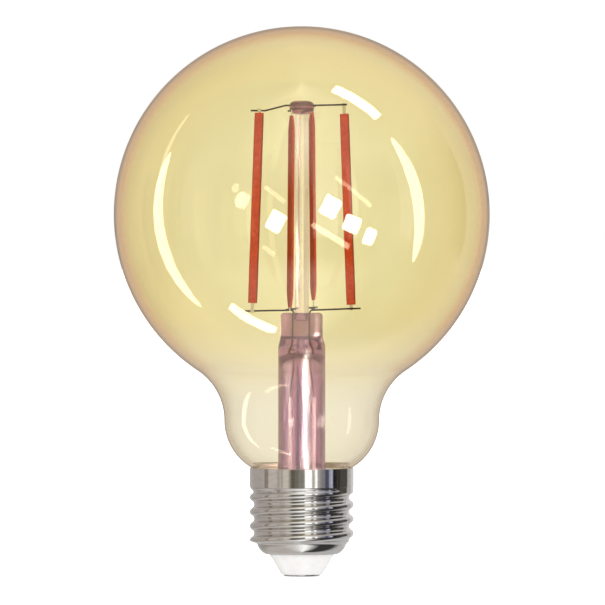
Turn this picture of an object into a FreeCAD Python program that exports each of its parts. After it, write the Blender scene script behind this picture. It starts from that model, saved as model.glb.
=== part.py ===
import FreeCAD, Part
import math
import os

import Sketcher

# A smart filament light bulb: a 95 mm amber globe on a standard E27 screw cap, with four LED
# filaments on a glass stem, and a mains driver with a radio board inside the cap.
# Frame: +Z runs up the axis of the bulb. The origin is on the flat end of the centre contact.
# The stem, the filaments and the driver share one frame, turned about the axis by frame_turn.
# Lengths are millimetres and angles are degrees.

DIMENSIONS = {
    # glass globe: sphere, hollow waist, rounded throat, hollow root and straight neck
    "globe_radius": 47.5,
    "globe_centre_z": 91.5,
    "waist_arc_radius": 15.0,
    "waist_arc_centre": 34.6,
    "throat_arc_radius": 14.0,
    "neck_radius": 11.3,
    "root_arc_radius": 2.8,
    "neck_foot_z": 19.6,
    "glass_wall": 0.9,
    # screw shell of the cap, with the standard E27 thread
    "shell_radius": 13.15,
    "shell_wall": 0.3,
    "rim_z": 27.4,
    "band_foot_z": 22.6,
    "thread_top_z": 21.0,
    "thread_foot_z": 9.0,
    "thread_pitch": 3.629,
    "thread_depth": 1.097,
    "thread_arc_radius": 1.025,
    "thread_step": 0.12,
    "dome_top_z": 8.2,
    "dome_top_radius": 11.3,
    "dome_arc_radius": 4.0,
    "dome_foot_radius": 9.2,
    "lip_z": 5.65,
    "lip_radius": 8.2,
    # insulator and centre contact
    "plate_thickness": 0.45,
    "plate_radius": 4.65,
    "plate_flat_radius": 4.1,
    "plate_edge_arc": 0.6,
    "rivet_radius": 1.1,
    "rivet_head_radius": 1.6,
    "rivet_head": 0.25,
    "rivet_floor_z": 0.6,
    "cone_foot_radius": 5.35,
    "cone_foot_z": 0.84,
    "cone_foot_arc": 0.8,
    "cone_top_radius": 8.15,
    "cone_top_z": 5.45,
    "flange_radius": 9.0,
    "flange_top_z": 6.9,
    "insulator_wall": 1.2,
    "insulator_top_z": 7.4,
    "boss_radius": 2.2,
    "boss_top_z": 4.6,
    "cement_foot_z": 23.0,
    "cement_top_z": 27.2,
    # glass stem: flared skirt, tube and flat press
    "frame_turn": -14.7,
    "stem_radius": 5.95,
    "stem_wall": 1.1,
    "skirt_top_z": 30.0,
    "skirt_seal_height": 0.8,
    "bore_shoulder_z": 53.5,
    "bore_top_z": 56.5,
    "bore_top_arc": 3.6,
    "press_top_z": 66.6,
    "press_top_radius": 5.77,
    "press_edge_arc": 0.8,
    "press_thickness": 5.0,
    "press_width": 10.4,
    "pinch_foot_z": 56.8,
    "pinch_top_z": 61.0,
    "shoulder_foot_z": 58.5,
    "shoulder_top_z": 60.3,
    "pump_hole_radius": 0.7,
    "pump_hole_z": 60.3,
    "exhaust_radius": 1.7,
    "exhaust_bore": 0.9,
    "exhaust_tip_z": 16.0,
    "exhaust_top_z": 58.5,
    "rod_radius": 1.8,
    "rod_foot_z": 64.6,
    "rod_top_z": 116.7,
    "bead_foot_radius": 2.2,
    "bead_radius": 3.1,
    "bead_waist_z": 118.3,
    "bead_top_z": 120.2,
    "bead_low_arc": 1.3,
    # wires of the filament frame
    "wire_radius": 0.22,
    "wire_bend": 0.6,
    "lead_x": 2.15,
    "seal_foot_z": 56.0,
    "seal_top_z": 66.0,
    "lead_corner_z": 67.25,
    "left_lead_end_x": 14.9,
    "left_lead_end_z": 66.95,
    "right_lead_end_x": 15.3,
    "right_lead_end_z": 67.8,
    "branch_z": 67.7,
    "branch_x": 2.9,
    "branch_tail_y": 0.8,
    "branch_turn_y": 2.0,
    "branch_join_y": 6.0,
    "branch_end_y": 15.2,
    "branch_bend": 1.5,
    "cross_wire_z": 119.0,
    "cross_left_x": 13.3,
    "cross_left_z": 117.7,
    "cross_left_knee_x": 9.5,
    "cross_bead_x": 4.2,
    "cross_right_x": 11.8,
    "cross_right_z": 119.2,
    "deep_wire_z": 118.2,
    "deep_front_z": 117.5,
    "deep_back_z": 118.9,
    "deep_reach": 13.2,
    "cross_bend": 1.5,
    "lead_drop_z": 53.0,
    "lead_spread_x": 3.1,
    "lead_spread_z": 47.0,
    "lead_turn_z": 24.0,
    "lead_pad_x": 6.2,
    "lead_pad_z": 15.0,
    "lead_bend": 1.5,
    "pin_foot_z": 8.7,
    "sleeve_radius": 0.55,
    "sleeve_foot_z": 25.2,
    "sleeve_top_z": 45.6,
    # one filament
    "filament_length": 48.2,
    "filament_width": 2.3,
    "filament_thickness": 1.4,
    "filament_edge_arc": 0.5,
    "filament_taper": 4.5,
    "filament_tip_thickness": 0.56,
    "filament_foot_z": 69.0,
    "filament_foot_radius": 12.8,
    "filament_tilt": 2.1,
    "strip_width": 1.0,
    "strip_thickness": 0.4,
    "strip_end": 1.0,
    "chip_width": 0.4,
    "chip_length": 0.9,
    "chip_height": 0.12,
    "chip_start": 2.0,
    "chip_step": 1.8,
    "chip_count": 25,
    "tab_width": 0.9,
    "tab_thickness": 0.12,
    "left_lift": 0.0,
    "left_low_tab": 2.5,
    "left_top_tab": 1.1,
    "front_lift": -0.8,
    "front_low_tab": 1.0,
    "front_top_tab": 1.5,
    "right_lift": -0.3,
    "right_low_tab": 1.4,
    "right_top_tab": 2.7,
    "back_lift": 0.6,
    "back_low_tab": 2.3,
    "back_top_tab": 1.5,
    # driver cup and driver board
    "cup_radius": 10.6,
    "cup_wall": 0.5,
    "cup_foot_z": 8.0,
    "cup_top_z": 18.6,
    "cup_hole_radius": 0.6,
    "ledge_radius": 9.2,
    "ledge_z": 9.2,
    "board_radius": 9.6,
    "board_thickness": 1.0,
    "pin_radius": 0.25,
    "contact_wire_radius": 0.3,
    "contact_wire_top_z": 10.1,
    "solder_margin": 0.08,
    "solder_spread": 0.22,
    "capacitor_radius": 3.15,
    "capacitor_height": 8.0,
    "capacitor_groove": 0.3,
    "capacitor_groove_z": 1.2,
    "capacitor_x": -4.3,
    "capacitor_y": 4.9,
    "capacitor_pin_x": 1.25,
    "inductor_radius": 2.5,
    "inductor_height": 5.5,
    "inductor_flange": 0.9,
    "inductor_post_radius": 1.4,
    "winding_radius": 2.2,
    "inductor_x": 4.2,
    "inductor_y": 5.4,
    "inductor_pin_x": 1.5,
    "bridge_x": -3.2,
    "bridge_y": -5.8,
    "bridge_length": 4.7,
    "bridge_width": 3.4,
    "bridge_height": 1.5,
    "fuse_x": 2.0,
    "fuse_y": -7.4,
    "fuse_radius": 1.2,
    "fuse_waist_radius": 1.05,
    "fuse_cap": 1.4,
    "fuse_edge": 0.2,
    "fuse_height": 6.0,
    "fuse_standoff": 0.6,
    "fuse_loop": 0.8,
    "fuse_loop_x": 1.9,
    "fuse_bend": 0.5,
    "driver_chip_size": 3.8,
    "driver_chip_y": -0.1,
    "driver_chip_height": 1.5,
    "leg_length": 1.0,
    "leg_width": 0.4,
    "leg_height": 0.6,
    "leg_step": 1.27,
    "bridge_leg_x": 1.25,
    "package_edge": 0.25,
    "ceramic_length": 2.0,
    "ceramic_width": 1.25,
    "ceramic_height": 1.2,
    "resistor_length": 1.6,
    "resistor_width": 0.8,
    "resistor_height": 0.5,
    # radio board, standing on the driver board
    "radio_board_width": 10.0,
    "radio_board_height": 9.0,
    "radio_board_thickness": 0.8,
    "radio_board_y": -2.9,
    "radio_chip_width": 4.0,
    "radio_chip_height": 3.6,
    "radio_chip_thickness": 0.85,
    "radio_chip_lift": 1.9,
    "crystal_width": 3.2,
    "crystal_height": 2.5,
    "crystal_thickness": 0.8,
    "crystal_lift": 3.0,
    "radio_pin_count": 6,
    "radio_pin_step": 1.0,
    "antenna_radius": 0.3,
    "antenna_y": -3.3,
    "antenna_knee_z": 21.0,
    "antenna_jog_z": 23.0,
    "antenna_top_z": 50.2,
    "antenna_bend": 2.0,
    "shell_wire_y": 8.6,
    "shell_wire_z": 19.1,
    "shell_wire_end_y": 11.6,
    "shell_wire_bend": 0.8,
}

# Centres of the surface-mounted ceramic capacitors and resistors on the driver board
CERAMIC_PLACES = ((4.9, 1.6), (4.6, -1.6), (7.5, -2.0))
RESISTOR_PLACES = ((-4.6, 0.7), (-4.6, -1.2), (5.6, -4.6), (5.6, -6.2))

LEFT = 1
RIGHT = -1
AXIS = 0
WHOLE_TURN = 360
SHELL_POLES_AROUND = 48
SHELL_POLE_STEP = 0.3
SEWING_TOLERANCE = 0.005

doc = FreeCAD.newDocument("smart_light_bulb")
sheet = doc.addObject("Spreadsheet::Sheet", "dims")
nodes = []


class Size:
    """A length or angle with its value and the sheet expression that gives it."""

    def __init__(self, value, text):
        self.value = float(value)
        self.text = text

    @staticmethod
    def of(thing):
        if isinstance(thing, Size):
            return thing
        return Size(thing, f"({thing})")

    def __str__(self):
        return self.text

    def __add__(self, other):
        other = Size.of(other)
        return Size(self.value + other.value, f"({self} + {other})")

    def __sub__(self, other):
        other = Size.of(other)
        return Size(self.value - other.value, f"({self} - {other})")

    def __mul__(self, other):
        other = Size.of(other)
        return Size(self.value * other.value, f"({self} * {other})")

    def __truediv__(self, other):
        other = Size.of(other)
        return Size(self.value / other.value, f"({self} / {other})")

    def __neg__(self):
        return Size(-self.value, f"(-1 * {self})")


def root(size):
    """Square root of a size."""
    return Size(math.sqrt(size.value), f"sqrt({size})")


def square(size):
    """A size multiplied by itself."""
    return size * size


def leg_of(hypotenuse, other_leg):
    """The missing short side of a right triangle."""
    return root(square(hypotenuse) - square(other_leg))


def between(start, end, share):
    """The size that lies the given share of the way from start to end."""
    return start + (end - start) * share


class Dimensions:
    """The sheet's cells as named sizes."""

    def __init__(self, table):
        for row, (name, value) in enumerate(table.items(), start=1):
            sheet.set(f"A{row}", name)
            sheet.set(f"B{row}", str(value))
            sheet.setAlias(f"B{row}", name)
            setattr(self, name, Size(value, f"dims.{name}"))


class Corner:
    """A corner of an outline; radius and turn describe the arc that arrives at it, if any."""

    def __init__(self, x, y, radius=None, turn=LEFT):
        self.x = x
        self.y = y
        self.radius = radius
        self.turn = turn

    def vector(self):
        return FreeCAD.Vector(Size.of(self.x).value, Size.of(self.y).value, 0)


def bind(sketch, constraint, size):
    """Add a sketch constraint that follows a sheet expression."""
    index = sketch.addConstraint(constraint)
    name = f"size_{index}"
    sketch.renameConstraint(index, name)
    sketch.setExpression(f"Constraints.{name}", size.text)


def hold_point(sketch, geometry, position, corner):
    """Fix one point of the sketch at a corner; AXIS keeps it on that axis of the sketch."""
    for kind, axis, place in (("DistanceX", -2, corner.x), ("DistanceY", -1, corner.y)):
        if isinstance(place, Size):
            bind(sketch, Sketcher.Constraint(kind, -1, 1, geometry, position, place.value), place)
        else:
            sketch.addConstraint(Sketcher.Constraint("PointOnObject", geometry, position, axis))


def add_arc(sketch, start, end, radius, turn):
    """Add the shorter arc between two points; returns the positions of its start and end."""
    chord = end - start
    height = math.sqrt(radius * radius - chord.Length * chord.Length / 4)
    normal = FreeCAD.Vector(-chord.y, chord.x, 0).normalize()
    centre = (start + end) * 0.5 + normal * (height * turn)
    first, last = (start, end) if turn == LEFT else (end, start)
    first_angle = math.atan2(first.y - centre.y, first.x - centre.x)
    last_angle = math.atan2(last.y - centre.y, last.x - centre.x)
    circle = Part.Circle(centre, FreeCAD.Vector(0, 0, 1), radius)
    sketch.addGeometry(Part.ArcOfCircle(circle, first_angle, last_angle))
    return (1, 2) if turn == LEFT else (2, 1)


def draw_outline(sketch, corners):
    """Draw a closed outline of lines and arcs and hold each of its corners."""
    first = sketch.GeometryCount
    ends = []
    for index, corner in enumerate(corners):
        start = corners[index - 1].vector()
        if corner.radius is None:
            sketch.addGeometry(Part.LineSegment(start, corner.vector()))
            ends.append((1, 2))
        else:
            ends.append(add_arc(sketch, start, corner.vector(), corner.radius.value, corner.turn))
    for index, corner in enumerate(corners):
        following = (index + 1) % len(corners)
        arrive = ends[index][1]
        leave = ends[following][0]
        joint = Sketcher.Constraint("Coincident", first + index, arrive, first + following, leave)
        sketch.addConstraint(joint)
        hold_point(sketch, first + index, arrive, corner)
        if corner.radius is not None:
            constraint = Sketcher.Constraint("Radius", first + index, corner.radius.value)
            bind(sketch, constraint, corner.radius)


def draw_box(sketch, low_x, high_x, low_y, high_y):
    """Draw a rectangle between two corners."""
    draw_outline(sketch, [Corner(low_x, low_y), Corner(high_x, low_y),
                          Corner(high_x, high_y), Corner(low_x, high_y)])


def draw_rounded_box(sketch, width, depth, arc):
    """Draw a rectangle about the sketch's centre, with rounded corners."""
    x = width / 2
    y = depth / 2
    draw_outline(sketch, [
        Corner(-x, -y + arc), Corner(-x + arc, -y, arc), Corner(x - arc, -y),
        Corner(x, -y + arc, arc), Corner(x, y - arc), Corner(x - arc, y, arc),
        Corner(-x + arc, y), Corner(-x, y - arc, arc)])


def draw_circle(sketch, x, y, radius):
    """Draw a circle about a point."""
    corner = Corner(x, y)
    index = sketch.addGeometry(Part.Circle(corner.vector(), FreeCAD.Vector(0, 0, 1), radius.value))
    hold_point(sketch, index, 3, corner)
    bind(sketch, Sketcher.Constraint("Radius", index, radius.value), radius)


def draw_route(sketch, points, bend):
    """Draw straight runs from point to point, with a tangent arc of radius bend at each turn."""
    places = [point.vector() for point in points]
    starts = [places[0]]
    ends = []
    arcs = []
    for before, here, after in zip(places, places[1:], places[2:]):
        arriving = (here - before).normalize()
        leaving = (after - here).normalize()
        half_turn = arriving.getAngle(leaving) / 2
        reach = bend.value * math.tan(half_turn)
        turn = LEFT if arriving.cross(leaving).z > 0 else RIGHT
        ends.append(here - arriving * reach)
        starts.append(here + leaving * reach)
        arcs.append(turn)
    ends.append(places[-1])
    for index, (start, end) in enumerate(zip(starts, ends)):
        sketch.addGeometry(Part.LineSegment(start, end))
        if index == len(arcs):
            break
        line = 2 * index
        first, last = add_arc(sketch, end, starts[index + 1], bend.value, arcs[index])
        arcs[index] = (line + 1, first, last)
    hold_point(sketch, 0, 1, points[0])
    hold_point(sketch, 2 * len(arcs), 2, points[-1])
    for (arc, first, last), point in zip(arcs, points[1:]):
        corner = sketch.addGeometry(Part.Point(point.vector()), True)
        hold_point(sketch, corner, 1, point)
        sketch.addConstraint(Sketcher.Constraint("PointOnObject", corner, 1, arc - 1))
        sketch.addConstraint(Sketcher.Constraint("PointOnObject", corner, 1, arc + 1))
        sketch.addConstraint(Sketcher.Constraint("Tangent", arc - 1, 2, arc, first))
        sketch.addConstraint(Sketcher.Constraint("Tangent", arc, last, arc + 1, 1))
        bind(sketch, Sketcher.Constraint("Radius", arc, bend.value), bend)


def new_body(label):
    """Start a PartDesign body that becomes the sub-part of that name."""
    body = doc.addObject("PartDesign::Body", label)
    body.Label = label
    nodes.append(body)
    return body


def new_sketch(body, plane, offset=None):
    """Add a sketch on one of the body's origin planes, moved along its normal by offset."""
    support = next(item for item in body.Origin.OriginFeatures if item.Role == plane)
    sketch = body.newObject("Sketcher::SketchObject", f"{body.Name}_sketch")
    sketch.AttachmentSupport = [(support, "")]
    sketch.MapMode = "FlatFace"
    if offset is not None:
        sketch.AttachmentOffset = FreeCAD.Placement(FreeCAD.Vector(0, 0, offset.value),
                                                    FreeCAD.Rotation())
        sketch.setExpression("AttachmentOffset.Base.z", offset.text)
    return sketch


def revolve(body, corners):
    """Turn an outline of (radius, height) corners once round the Z axis."""
    sketch = new_sketch(body, "XZ_Plane")
    draw_outline(sketch, corners)
    feature = body.newObject("PartDesign::Revolution", f"{body.Name}_revolution")
    feature.Profile = sketch
    feature.ReferenceAxis = (sketch, ["V_Axis"])
    feature.Angle = WHOLE_TURN
    return feature


def extrude(body, kind, sketch, length, symmetric=False, reverse=False):
    """Add a Pad or a Pocket of a sketch."""
    feature = body.newObject(f"PartDesign::{kind}", f"{body.Name}_{kind.lower()}")
    feature.Profile = sketch
    feature.SideType = "Symmetric" if symmetric else "One side"
    feature.Reversed = reverse
    feature.Length = length.value
    feature.setExpression("Length", length.text)
    return feature


def repeat_up(body, feature, sketch, step, count):
    """Repeat a feature along the sketch's vertical axis."""
    pattern = body.newObject("PartDesign::LinearPattern", f"{body.Name}_row")
    pattern.Originals = [feature]
    pattern.Direction = (sketch, ["V_Axis"])
    pattern.Mode = "Spacing"
    pattern.Offset = step.value
    pattern.setExpression("Offset", step.text)
    pattern.Occurrences = int(count.value)
    pattern.setExpression("Occurrences", count.text)
    body.Tip = pattern


def wire(label, plane, points, radius, bend, offset=None):
    """Make a round wire along a flat route of straight runs and tangent bends."""
    body = new_body(label)
    path = new_sketch(body, plane, offset)
    draw_route(path, points, bend)
    section = body.newObject("Sketcher::SketchObject", f"{label}_section")
    section.AttachmentSupport = [(path, "Edge1")]
    section.MapMode = "NormalToEdge"
    draw_circle(section, AXIS, AXIS, radius)
    feature = body.newObject("PartDesign::AdditivePipe", f"{label}_pipe")
    feature.Profile = section
    feature.Spine = path
    return body


def placement(x=AXIS, y=AXIS, z=AXIS, axis="0; 0; 1", angle=0):
    """The sheet expression of a placement."""
    return f"placement(vector({x}; {y}; {z}); rotation(vector({axis}); {angle}))"


def place(part, *steps):
    """Place a sub-part by a chain of placements, the outermost first."""
    part.setExpression("Placement", " * ".join(steps))


def set_size(part, name, size):
    """Bind one property of a primitive to the sheet."""
    setattr(part, name, Size.of(size).value)
    if isinstance(size, Size):
        part.setExpression(name, size.text)


def primitive(kind, label, **sizes):
    """Add a Part primitive with sizes bound to the sheet."""
    part = doc.addObject(f"Part::{kind}", label)
    part.Label = label
    for name, size in sizes.items():
        set_size(part, name, size)
    return part


def block(label, width, depth, height, x=AXIS, y=AXIS, z=AXIS):
    """Add a box that is centred on x and y and stands on z."""
    part = primitive("Box", label, Length=width, Width=depth, Height=height)
    place(part, placement(Size.of(x) - width / 2, Size.of(y) - depth / 2, z))
    return part


def pin(label, radius, foot_z, top_z, x=AXIS, y=AXIS):
    """Add a round pin between two heights."""
    part = primitive("Cylinder", label, Radius=radius, Height=top_z - foot_z)
    place(part, placement(x, y, foot_z))
    return part


def group(label, parts):
    """Gather separate solids in one sub-part."""
    compound = doc.addObject("Part::Compound", label)
    compound.Label = label
    compound.Links = parts
    nodes.append(compound)
    return compound


def cut(label, base, tool):
    """Cut one object out of another."""
    result = doc.addObject("Part::Cut", label)
    result.Label = label
    result.Base = base
    result.Tool = tool
    return result


def as_node(part):
    """Count an object among the sub-parts."""
    nodes.append(part)
    return part


def globe(d):
    """Blown glass globe with its waist, throat and neck, open at the foot."""
    reach = d.globe_radius + d.waist_arc_radius
    flare_z = d.globe_centre_z - leg_of(reach, d.waist_arc_centre)
    waist_radius = d.waist_arc_centre - d.waist_arc_radius
    throat_centre = waist_radius - d.throat_arc_radius
    root_centre = d.neck_radius + d.root_arc_radius
    root_reach = d.throat_arc_radius + d.root_arc_radius
    root_z = flare_z - leg_of(root_reach, root_centre - throat_centre)

    def on_shoulder(radius):
        share = radius / reach
        return (d.waist_arc_centre * share,
                between(d.globe_centre_z, flare_z, share))

    def on_throat(radius):
        share = radius / root_reach
        return (between(throat_centre, root_centre, share),
                between(flare_z, root_z, share))

    wall = d.glass_wall
    inner_neck = d.neck_radius - wall
    body = new_body("glass_globe")
    revolve(body, [
        Corner(AXIS, d.globe_centre_z + d.globe_radius),
        Corner(*on_shoulder(d.globe_radius), d.globe_radius, RIGHT),
        Corner(waist_radius, flare_z, d.waist_arc_radius),
        Corner(*on_throat(d.throat_arc_radius), d.throat_arc_radius, RIGHT),
        Corner(d.neck_radius, root_z, d.root_arc_radius),
        Corner(d.neck_radius, d.neck_foot_z),
        Corner(inner_neck, d.neck_foot_z),
        Corner(inner_neck, root_z),
        Corner(*on_throat(d.throat_arc_radius - wall), d.root_arc_radius + wall, RIGHT),
        Corner(waist_radius - wall, flare_z, d.throat_arc_radius - wall),
        Corner(*on_shoulder(d.globe_radius - wall), d.waist_arc_radius + wall, RIGHT),
        Corner(AXIS, d.globe_centre_z + d.globe_radius - wall, d.globe_radius - wall),
    ])
    return root_centre, root_z


def cap_cement(d, root_centre, root_z):
    """Ring of cement between the root of the glass neck and the plain band of the cap."""
    bore = d.shell_radius - d.shell_wall
    glass_top = root_centre - leg_of(d.root_arc_radius, d.cement_top_z - root_z)
    body = new_body("cap_cement")
    revolve(body, [
        Corner(d.neck_radius, d.cement_foot_z),
        Corner(bore, d.cement_foot_z),
        Corner(bore, d.cement_top_z),
        Corner(glass_top, d.cement_top_z),
        Corner(d.neck_radius, root_z, d.root_arc_radius),
    ])


def smooth_step(low, high, z):
    """0 below low, 1 above high, with a level start and end."""
    share = min(max((z - low) / (high - low), 0.0), 1.0)
    return share * share * (3 - 2 * share)


def thread_radius(d, angle, z):
    """Outer radius of the screw shell: a round right-hand thread that fades out at both ends."""
    pitch = d.thread_pitch.value
    arc = d.thread_arc_radius.value
    crest = d.shell_radius.value
    from_crest = (z - pitch * angle / (2 * math.pi)) % pitch
    from_crest = min(from_crest, pitch - from_crest)
    if from_crest < pitch / 4:
        radius = crest - arc + math.sqrt(arc * arc - from_crest * from_crest)
    else:
        from_root = pitch / 2 - from_crest
        radius = crest - d.thread_depth.value + arc - math.sqrt(arc * arc - from_root * from_root)
    top = smooth_step(d.thread_top_z.value, d.band_foot_z.value, z)
    foot = 1 - smooth_step(d.dome_top_z.value, d.thread_foot_z.value, z)
    radius = radius * (1 - top) + (crest - d.thread_step.value) * top
    return radius * (1 - foot) + (d.dome_top_radius.value + d.thread_step.value) * foot


def thread_face(d, inset):
    """Closed cubic surface through the thread's rings, moved inward by inset.

    The poles stand a little outside the rings, since a cubic curve runs inside its poles. The seam
    lies on the second row of poles, which puts it above the X axis.
    """
    foot = d.dome_top_z.value
    height = d.band_foot_z.value - foot
    spans = round(height / SHELL_POLE_STEP)
    step = 2 * math.pi / SHELL_POLES_AROUND
    pole_scale = 3 / (2 + math.cos(step))
    knots = [foot + height * index / spans for index in range(spans + 1)]
    clamped = [knots[0]] * 3 + knots + [knots[-1]] * 3
    levels = [sum(clamped[index + 1:index + 4]) / 3 for index in range(spans + 3)]
    poles = []
    for around in range(SHELL_POLES_AROUND):
        angle = (around - 1) * step
        ring = []
        for z in levels:
            radius = (thread_radius(d, angle, z) - inset) * pole_scale
            ring.append(FreeCAD.Vector(radius * math.cos(angle), radius * math.sin(angle), z))
        poles.append(ring)
    surface = Part.BSplineSurface()
    surface.buildFromPolesMultsKnots(
        poles, [1] * (SHELL_POLES_AROUND + 1), [4] + [1] * (spans - 1) + [4],
        list(range(SHELL_POLES_AROUND + 1)), knots, True, False, 3, 3)
    return surface.toShape()


def step_face(edge, radius):
    """The narrow flat ring between a closed edge of the thread and a circle level with it."""
    level = FreeCAD.Vector(0, 0, edge.Vertexes[0].Point.z)
    wires = [Part.Wire(edge), Part.Wire(Part.makeCircle(radius, level))]
    return Part.makeFace(wires, "Part::FaceMakerBullseye").Faces[0]


def cap_shell(d):
    """Thin pressed screw shell: plain band, rolled thread, dome and inward lip."""
    def spot(radius, z):
        return FreeCAD.Vector(radius, 0, z)

    def lathe(edge):
        return edge.revolve(FreeCAD.Vector(0, 0, 0), FreeCAD.Vector(0, 0, 1), WHOLE_TURN)

    def dome_arc(top, foot, radius):
        """The arc from the dome's top to its foot, which starts level with the axis."""
        start = FreeCAD.Vector(top.x, top.z, 0)
        end = FreeCAD.Vector(foot.x, foot.z, 0)
        chord = end - start
        height = math.sqrt(radius * radius - chord.Length * chord.Length / 4)
        outward = FreeCAD.Vector(-chord.y, chord.x, 0).normalize()
        bulge = (start + end) * 0.5 + outward * (radius - height)
        return Part.Arc(top, spot(bulge.x, bulge.y), foot).toShape()

    wall = d.shell_wall.value
    outer = d.shell_radius.value
    rim = d.rim_z.value
    band = d.band_foot_z.value
    dome_top = spot(d.dome_top_radius.value, d.dome_top_z.value)
    dome_foot = spot(d.dome_foot_radius.value, d.lip_z.value)
    lip = spot(d.lip_radius.value, d.lip_z.value)
    lip_inside = lip + FreeCAD.Vector(0, 0, wall)
    foot_inside = dome_foot + FreeCAD.Vector(-wall / 2, 0, wall)
    top_inside = dome_top - FreeCAD.Vector(wall, 0, 0)
    arc = d.dome_arc_radius.value
    edges = [
        Part.makeLine(spot(outer, band), spot(outer, rim)),
        Part.makeLine(spot(outer, rim), spot(outer - wall, rim)),
        Part.makeLine(spot(outer - wall, rim), spot(outer - wall, band)),
        dome_arc(dome_top, dome_foot, arc),
        Part.makeLine(dome_foot, lip),
        Part.makeLine(lip, lip_inside),
        Part.makeLine(lip_inside, foot_inside),
        dome_arc(top_inside, foot_inside, arc - wall),
    ]
    faces = []
    for inset in (0, wall):
        thread = thread_face(d, inset)
        foot_edge, top_edge = sorted((edge for edge in thread.Edges if edge.isClosed()),
                                     key=lambda edge: edge.Vertexes[0].Point.z)
        faces.append(thread)
        faces.append(step_face(top_edge, outer - inset))
        faces.append(step_face(foot_edge, d.dome_top_radius.value - inset))
    for edge in edges:
        faces.extend(lathe(edge).Faces)
    shell = Part.makeShell(faces)
    shell.sewShape(SEWING_TOLERANCE)
    solid = Part.makeSolid(shell.Shells[0])
    if solid.Volume < 0:
        solid.reverse()
    part = doc.addObject("Part::Feature", "cap_shell")
    part.Label = "cap_shell"
    part.Shape = solid
    part.Placement = FreeCAD.Placement()
    nodes.append(part)


def cap_insulator(d):
    """Hollow white cone that carries the centre contact and clips behind the lip of the shell."""
    wall = d.insulator_wall
    lip_top = d.lip_z + d.shell_wall
    inner_floor = d.plate_thickness + wall
    body = new_body("cap_insulator")
    revolve(body, [
        Corner(d.rivet_radius, d.plate_thickness),
        Corner(d.plate_radius + d.solder_margin, d.plate_thickness),
        Corner(d.cone_foot_radius, d.cone_foot_z, d.cone_foot_arc),
        Corner(d.cone_top_radius, d.cone_top_z),
        Corner(d.cone_top_radius, lip_top),
        Corner(d.flange_radius, lip_top),
        Corner(d.flange_radius, d.flange_top_z),
        Corner(d.cone_top_radius, d.insulator_top_z),
        Corner(d.cone_top_radius - wall, d.insulator_top_z),
        Corner(d.cone_foot_radius - wall, inner_floor),
        Corner(d.boss_radius, inner_floor),
        Corner(d.boss_radius, d.boss_top_z),
        Corner(d.rivet_radius, d.boss_top_z),
    ])


def centre_contact(d):
    """Round contact plate with the hollow rivet that holds it to the insulator."""
    head_top = d.boss_top_z + d.rivet_head
    body = new_body("centre_contact")
    revolve(body, [
        Corner(AXIS, AXIS),
        Corner(d.plate_flat_radius, AXIS),
        Corner(d.plate_radius, d.plate_thickness, d.plate_edge_arc),
        Corner(d.rivet_radius, d.plate_thickness),
        Corner(d.rivet_radius, d.boss_top_z),
        Corner(d.rivet_head_radius, d.boss_top_z),
        Corner(d.rivet_head_radius, head_top),
        Corner(d.contact_wire_radius, head_top),
        Corner(d.contact_wire_radius, d.rivet_floor_z),
        Corner(AXIS, d.rivet_floor_z),
    ])


def stem_flare(d, frame):
    """Glass stem: skirt sealed to the neck, tube, and the press that grips rod, tube and leads."""
    rim_radius = d.neck_radius - d.glass_wall
    rim_top = d.neck_foot_z + d.skirt_seal_height
    spread = rim_radius - d.stem_radius
    drop = d.skirt_top_z - rim_top
    skirt_arc = (square(spread) + square(drop)) / (spread * 2)
    inner_arc = skirt_arc + d.stem_wall
    arc_centre = d.stem_radius + skirt_arc
    inner_rim = arc_centre - leg_of(inner_arc, d.skirt_top_z - d.neck_foot_z)
    bore = d.stem_radius - d.stem_wall
    edge = d.press_edge_arc
    body = new_body("stem_flare")
    revolve(body, [
        Corner(AXIS, d.press_top_z),
        Corner(AXIS, d.exhaust_top_z),
        Corner(d.exhaust_radius, d.exhaust_top_z),
        Corner(d.exhaust_radius, d.bore_top_z),
        Corner(bore, d.bore_shoulder_z, d.bore_top_arc, RIGHT),
        Corner(bore, d.skirt_top_z),
        Corner(inner_rim, d.neck_foot_z, inner_arc),
        Corner(rim_radius, d.neck_foot_z),
        Corner(rim_radius, rim_top),
        Corner(d.stem_radius, d.skirt_top_z, skirt_arc, RIGHT),
        Corner(d.stem_radius, d.pinch_foot_z),
        Corner(d.press_top_radius, d.press_top_z - edge),
        Corner(d.press_top_radius - edge, d.press_top_z, edge),
    ])
    clear = d.stem_radius + edge
    above = d.press_top_z + edge
    right_through = clear * 2
    pinch = new_sketch(body, "YZ_Plane")
    shoulder = new_sketch(body, "XZ_Plane")
    for side in (1, -1):
        face = d.press_thickness / 2 * side
        flank = d.press_width / 2 * side
        outside = clear * side
        draw_outline(pinch, [
            Corner(face, d.pinch_top_z), Corner(outside, d.pinch_foot_z),
            Corner(outside, above), Corner(face, above)])
        draw_outline(shoulder, [
            Corner(flank, d.shoulder_top_z), Corner(outside, d.shoulder_foot_z),
            Corner(outside, above), Corner(flank, above)])
    extrude(body, "Pocket", pinch, right_through, symmetric=True)
    extrude(body, "Pocket", shoulder, right_through, symmetric=True)
    socket = new_sketch(body, "XY_Plane", d.press_top_z)
    draw_circle(socket, AXIS, AXIS, d.rod_radius)
    extrude(body, "Pocket", socket, d.press_top_z - d.rod_foot_z)
    tunnels = new_sketch(body, "XY_Plane", d.press_top_z)
    for side in (1, -1):
        draw_circle(tunnels, d.lead_x * side, AXIS, d.wire_radius)
    extrude(body, "Pocket", tunnels, d.press_top_z - d.bore_shoulder_z)
    riser = new_sketch(body, "XY_Plane", d.pump_hole_z)
    draw_circle(riser, AXIS, AXIS, d.pump_hole_radius)
    extrude(body, "Pocket", riser, d.pump_hole_z - d.exhaust_top_z)
    outlet = new_sketch(body, "XZ_Plane")
    draw_circle(outlet, AXIS, d.pump_hole_z, d.pump_hole_radius)
    extrude(body, "Pocket", outlet, clear, reverse=True)
    place(body, frame)


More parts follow.
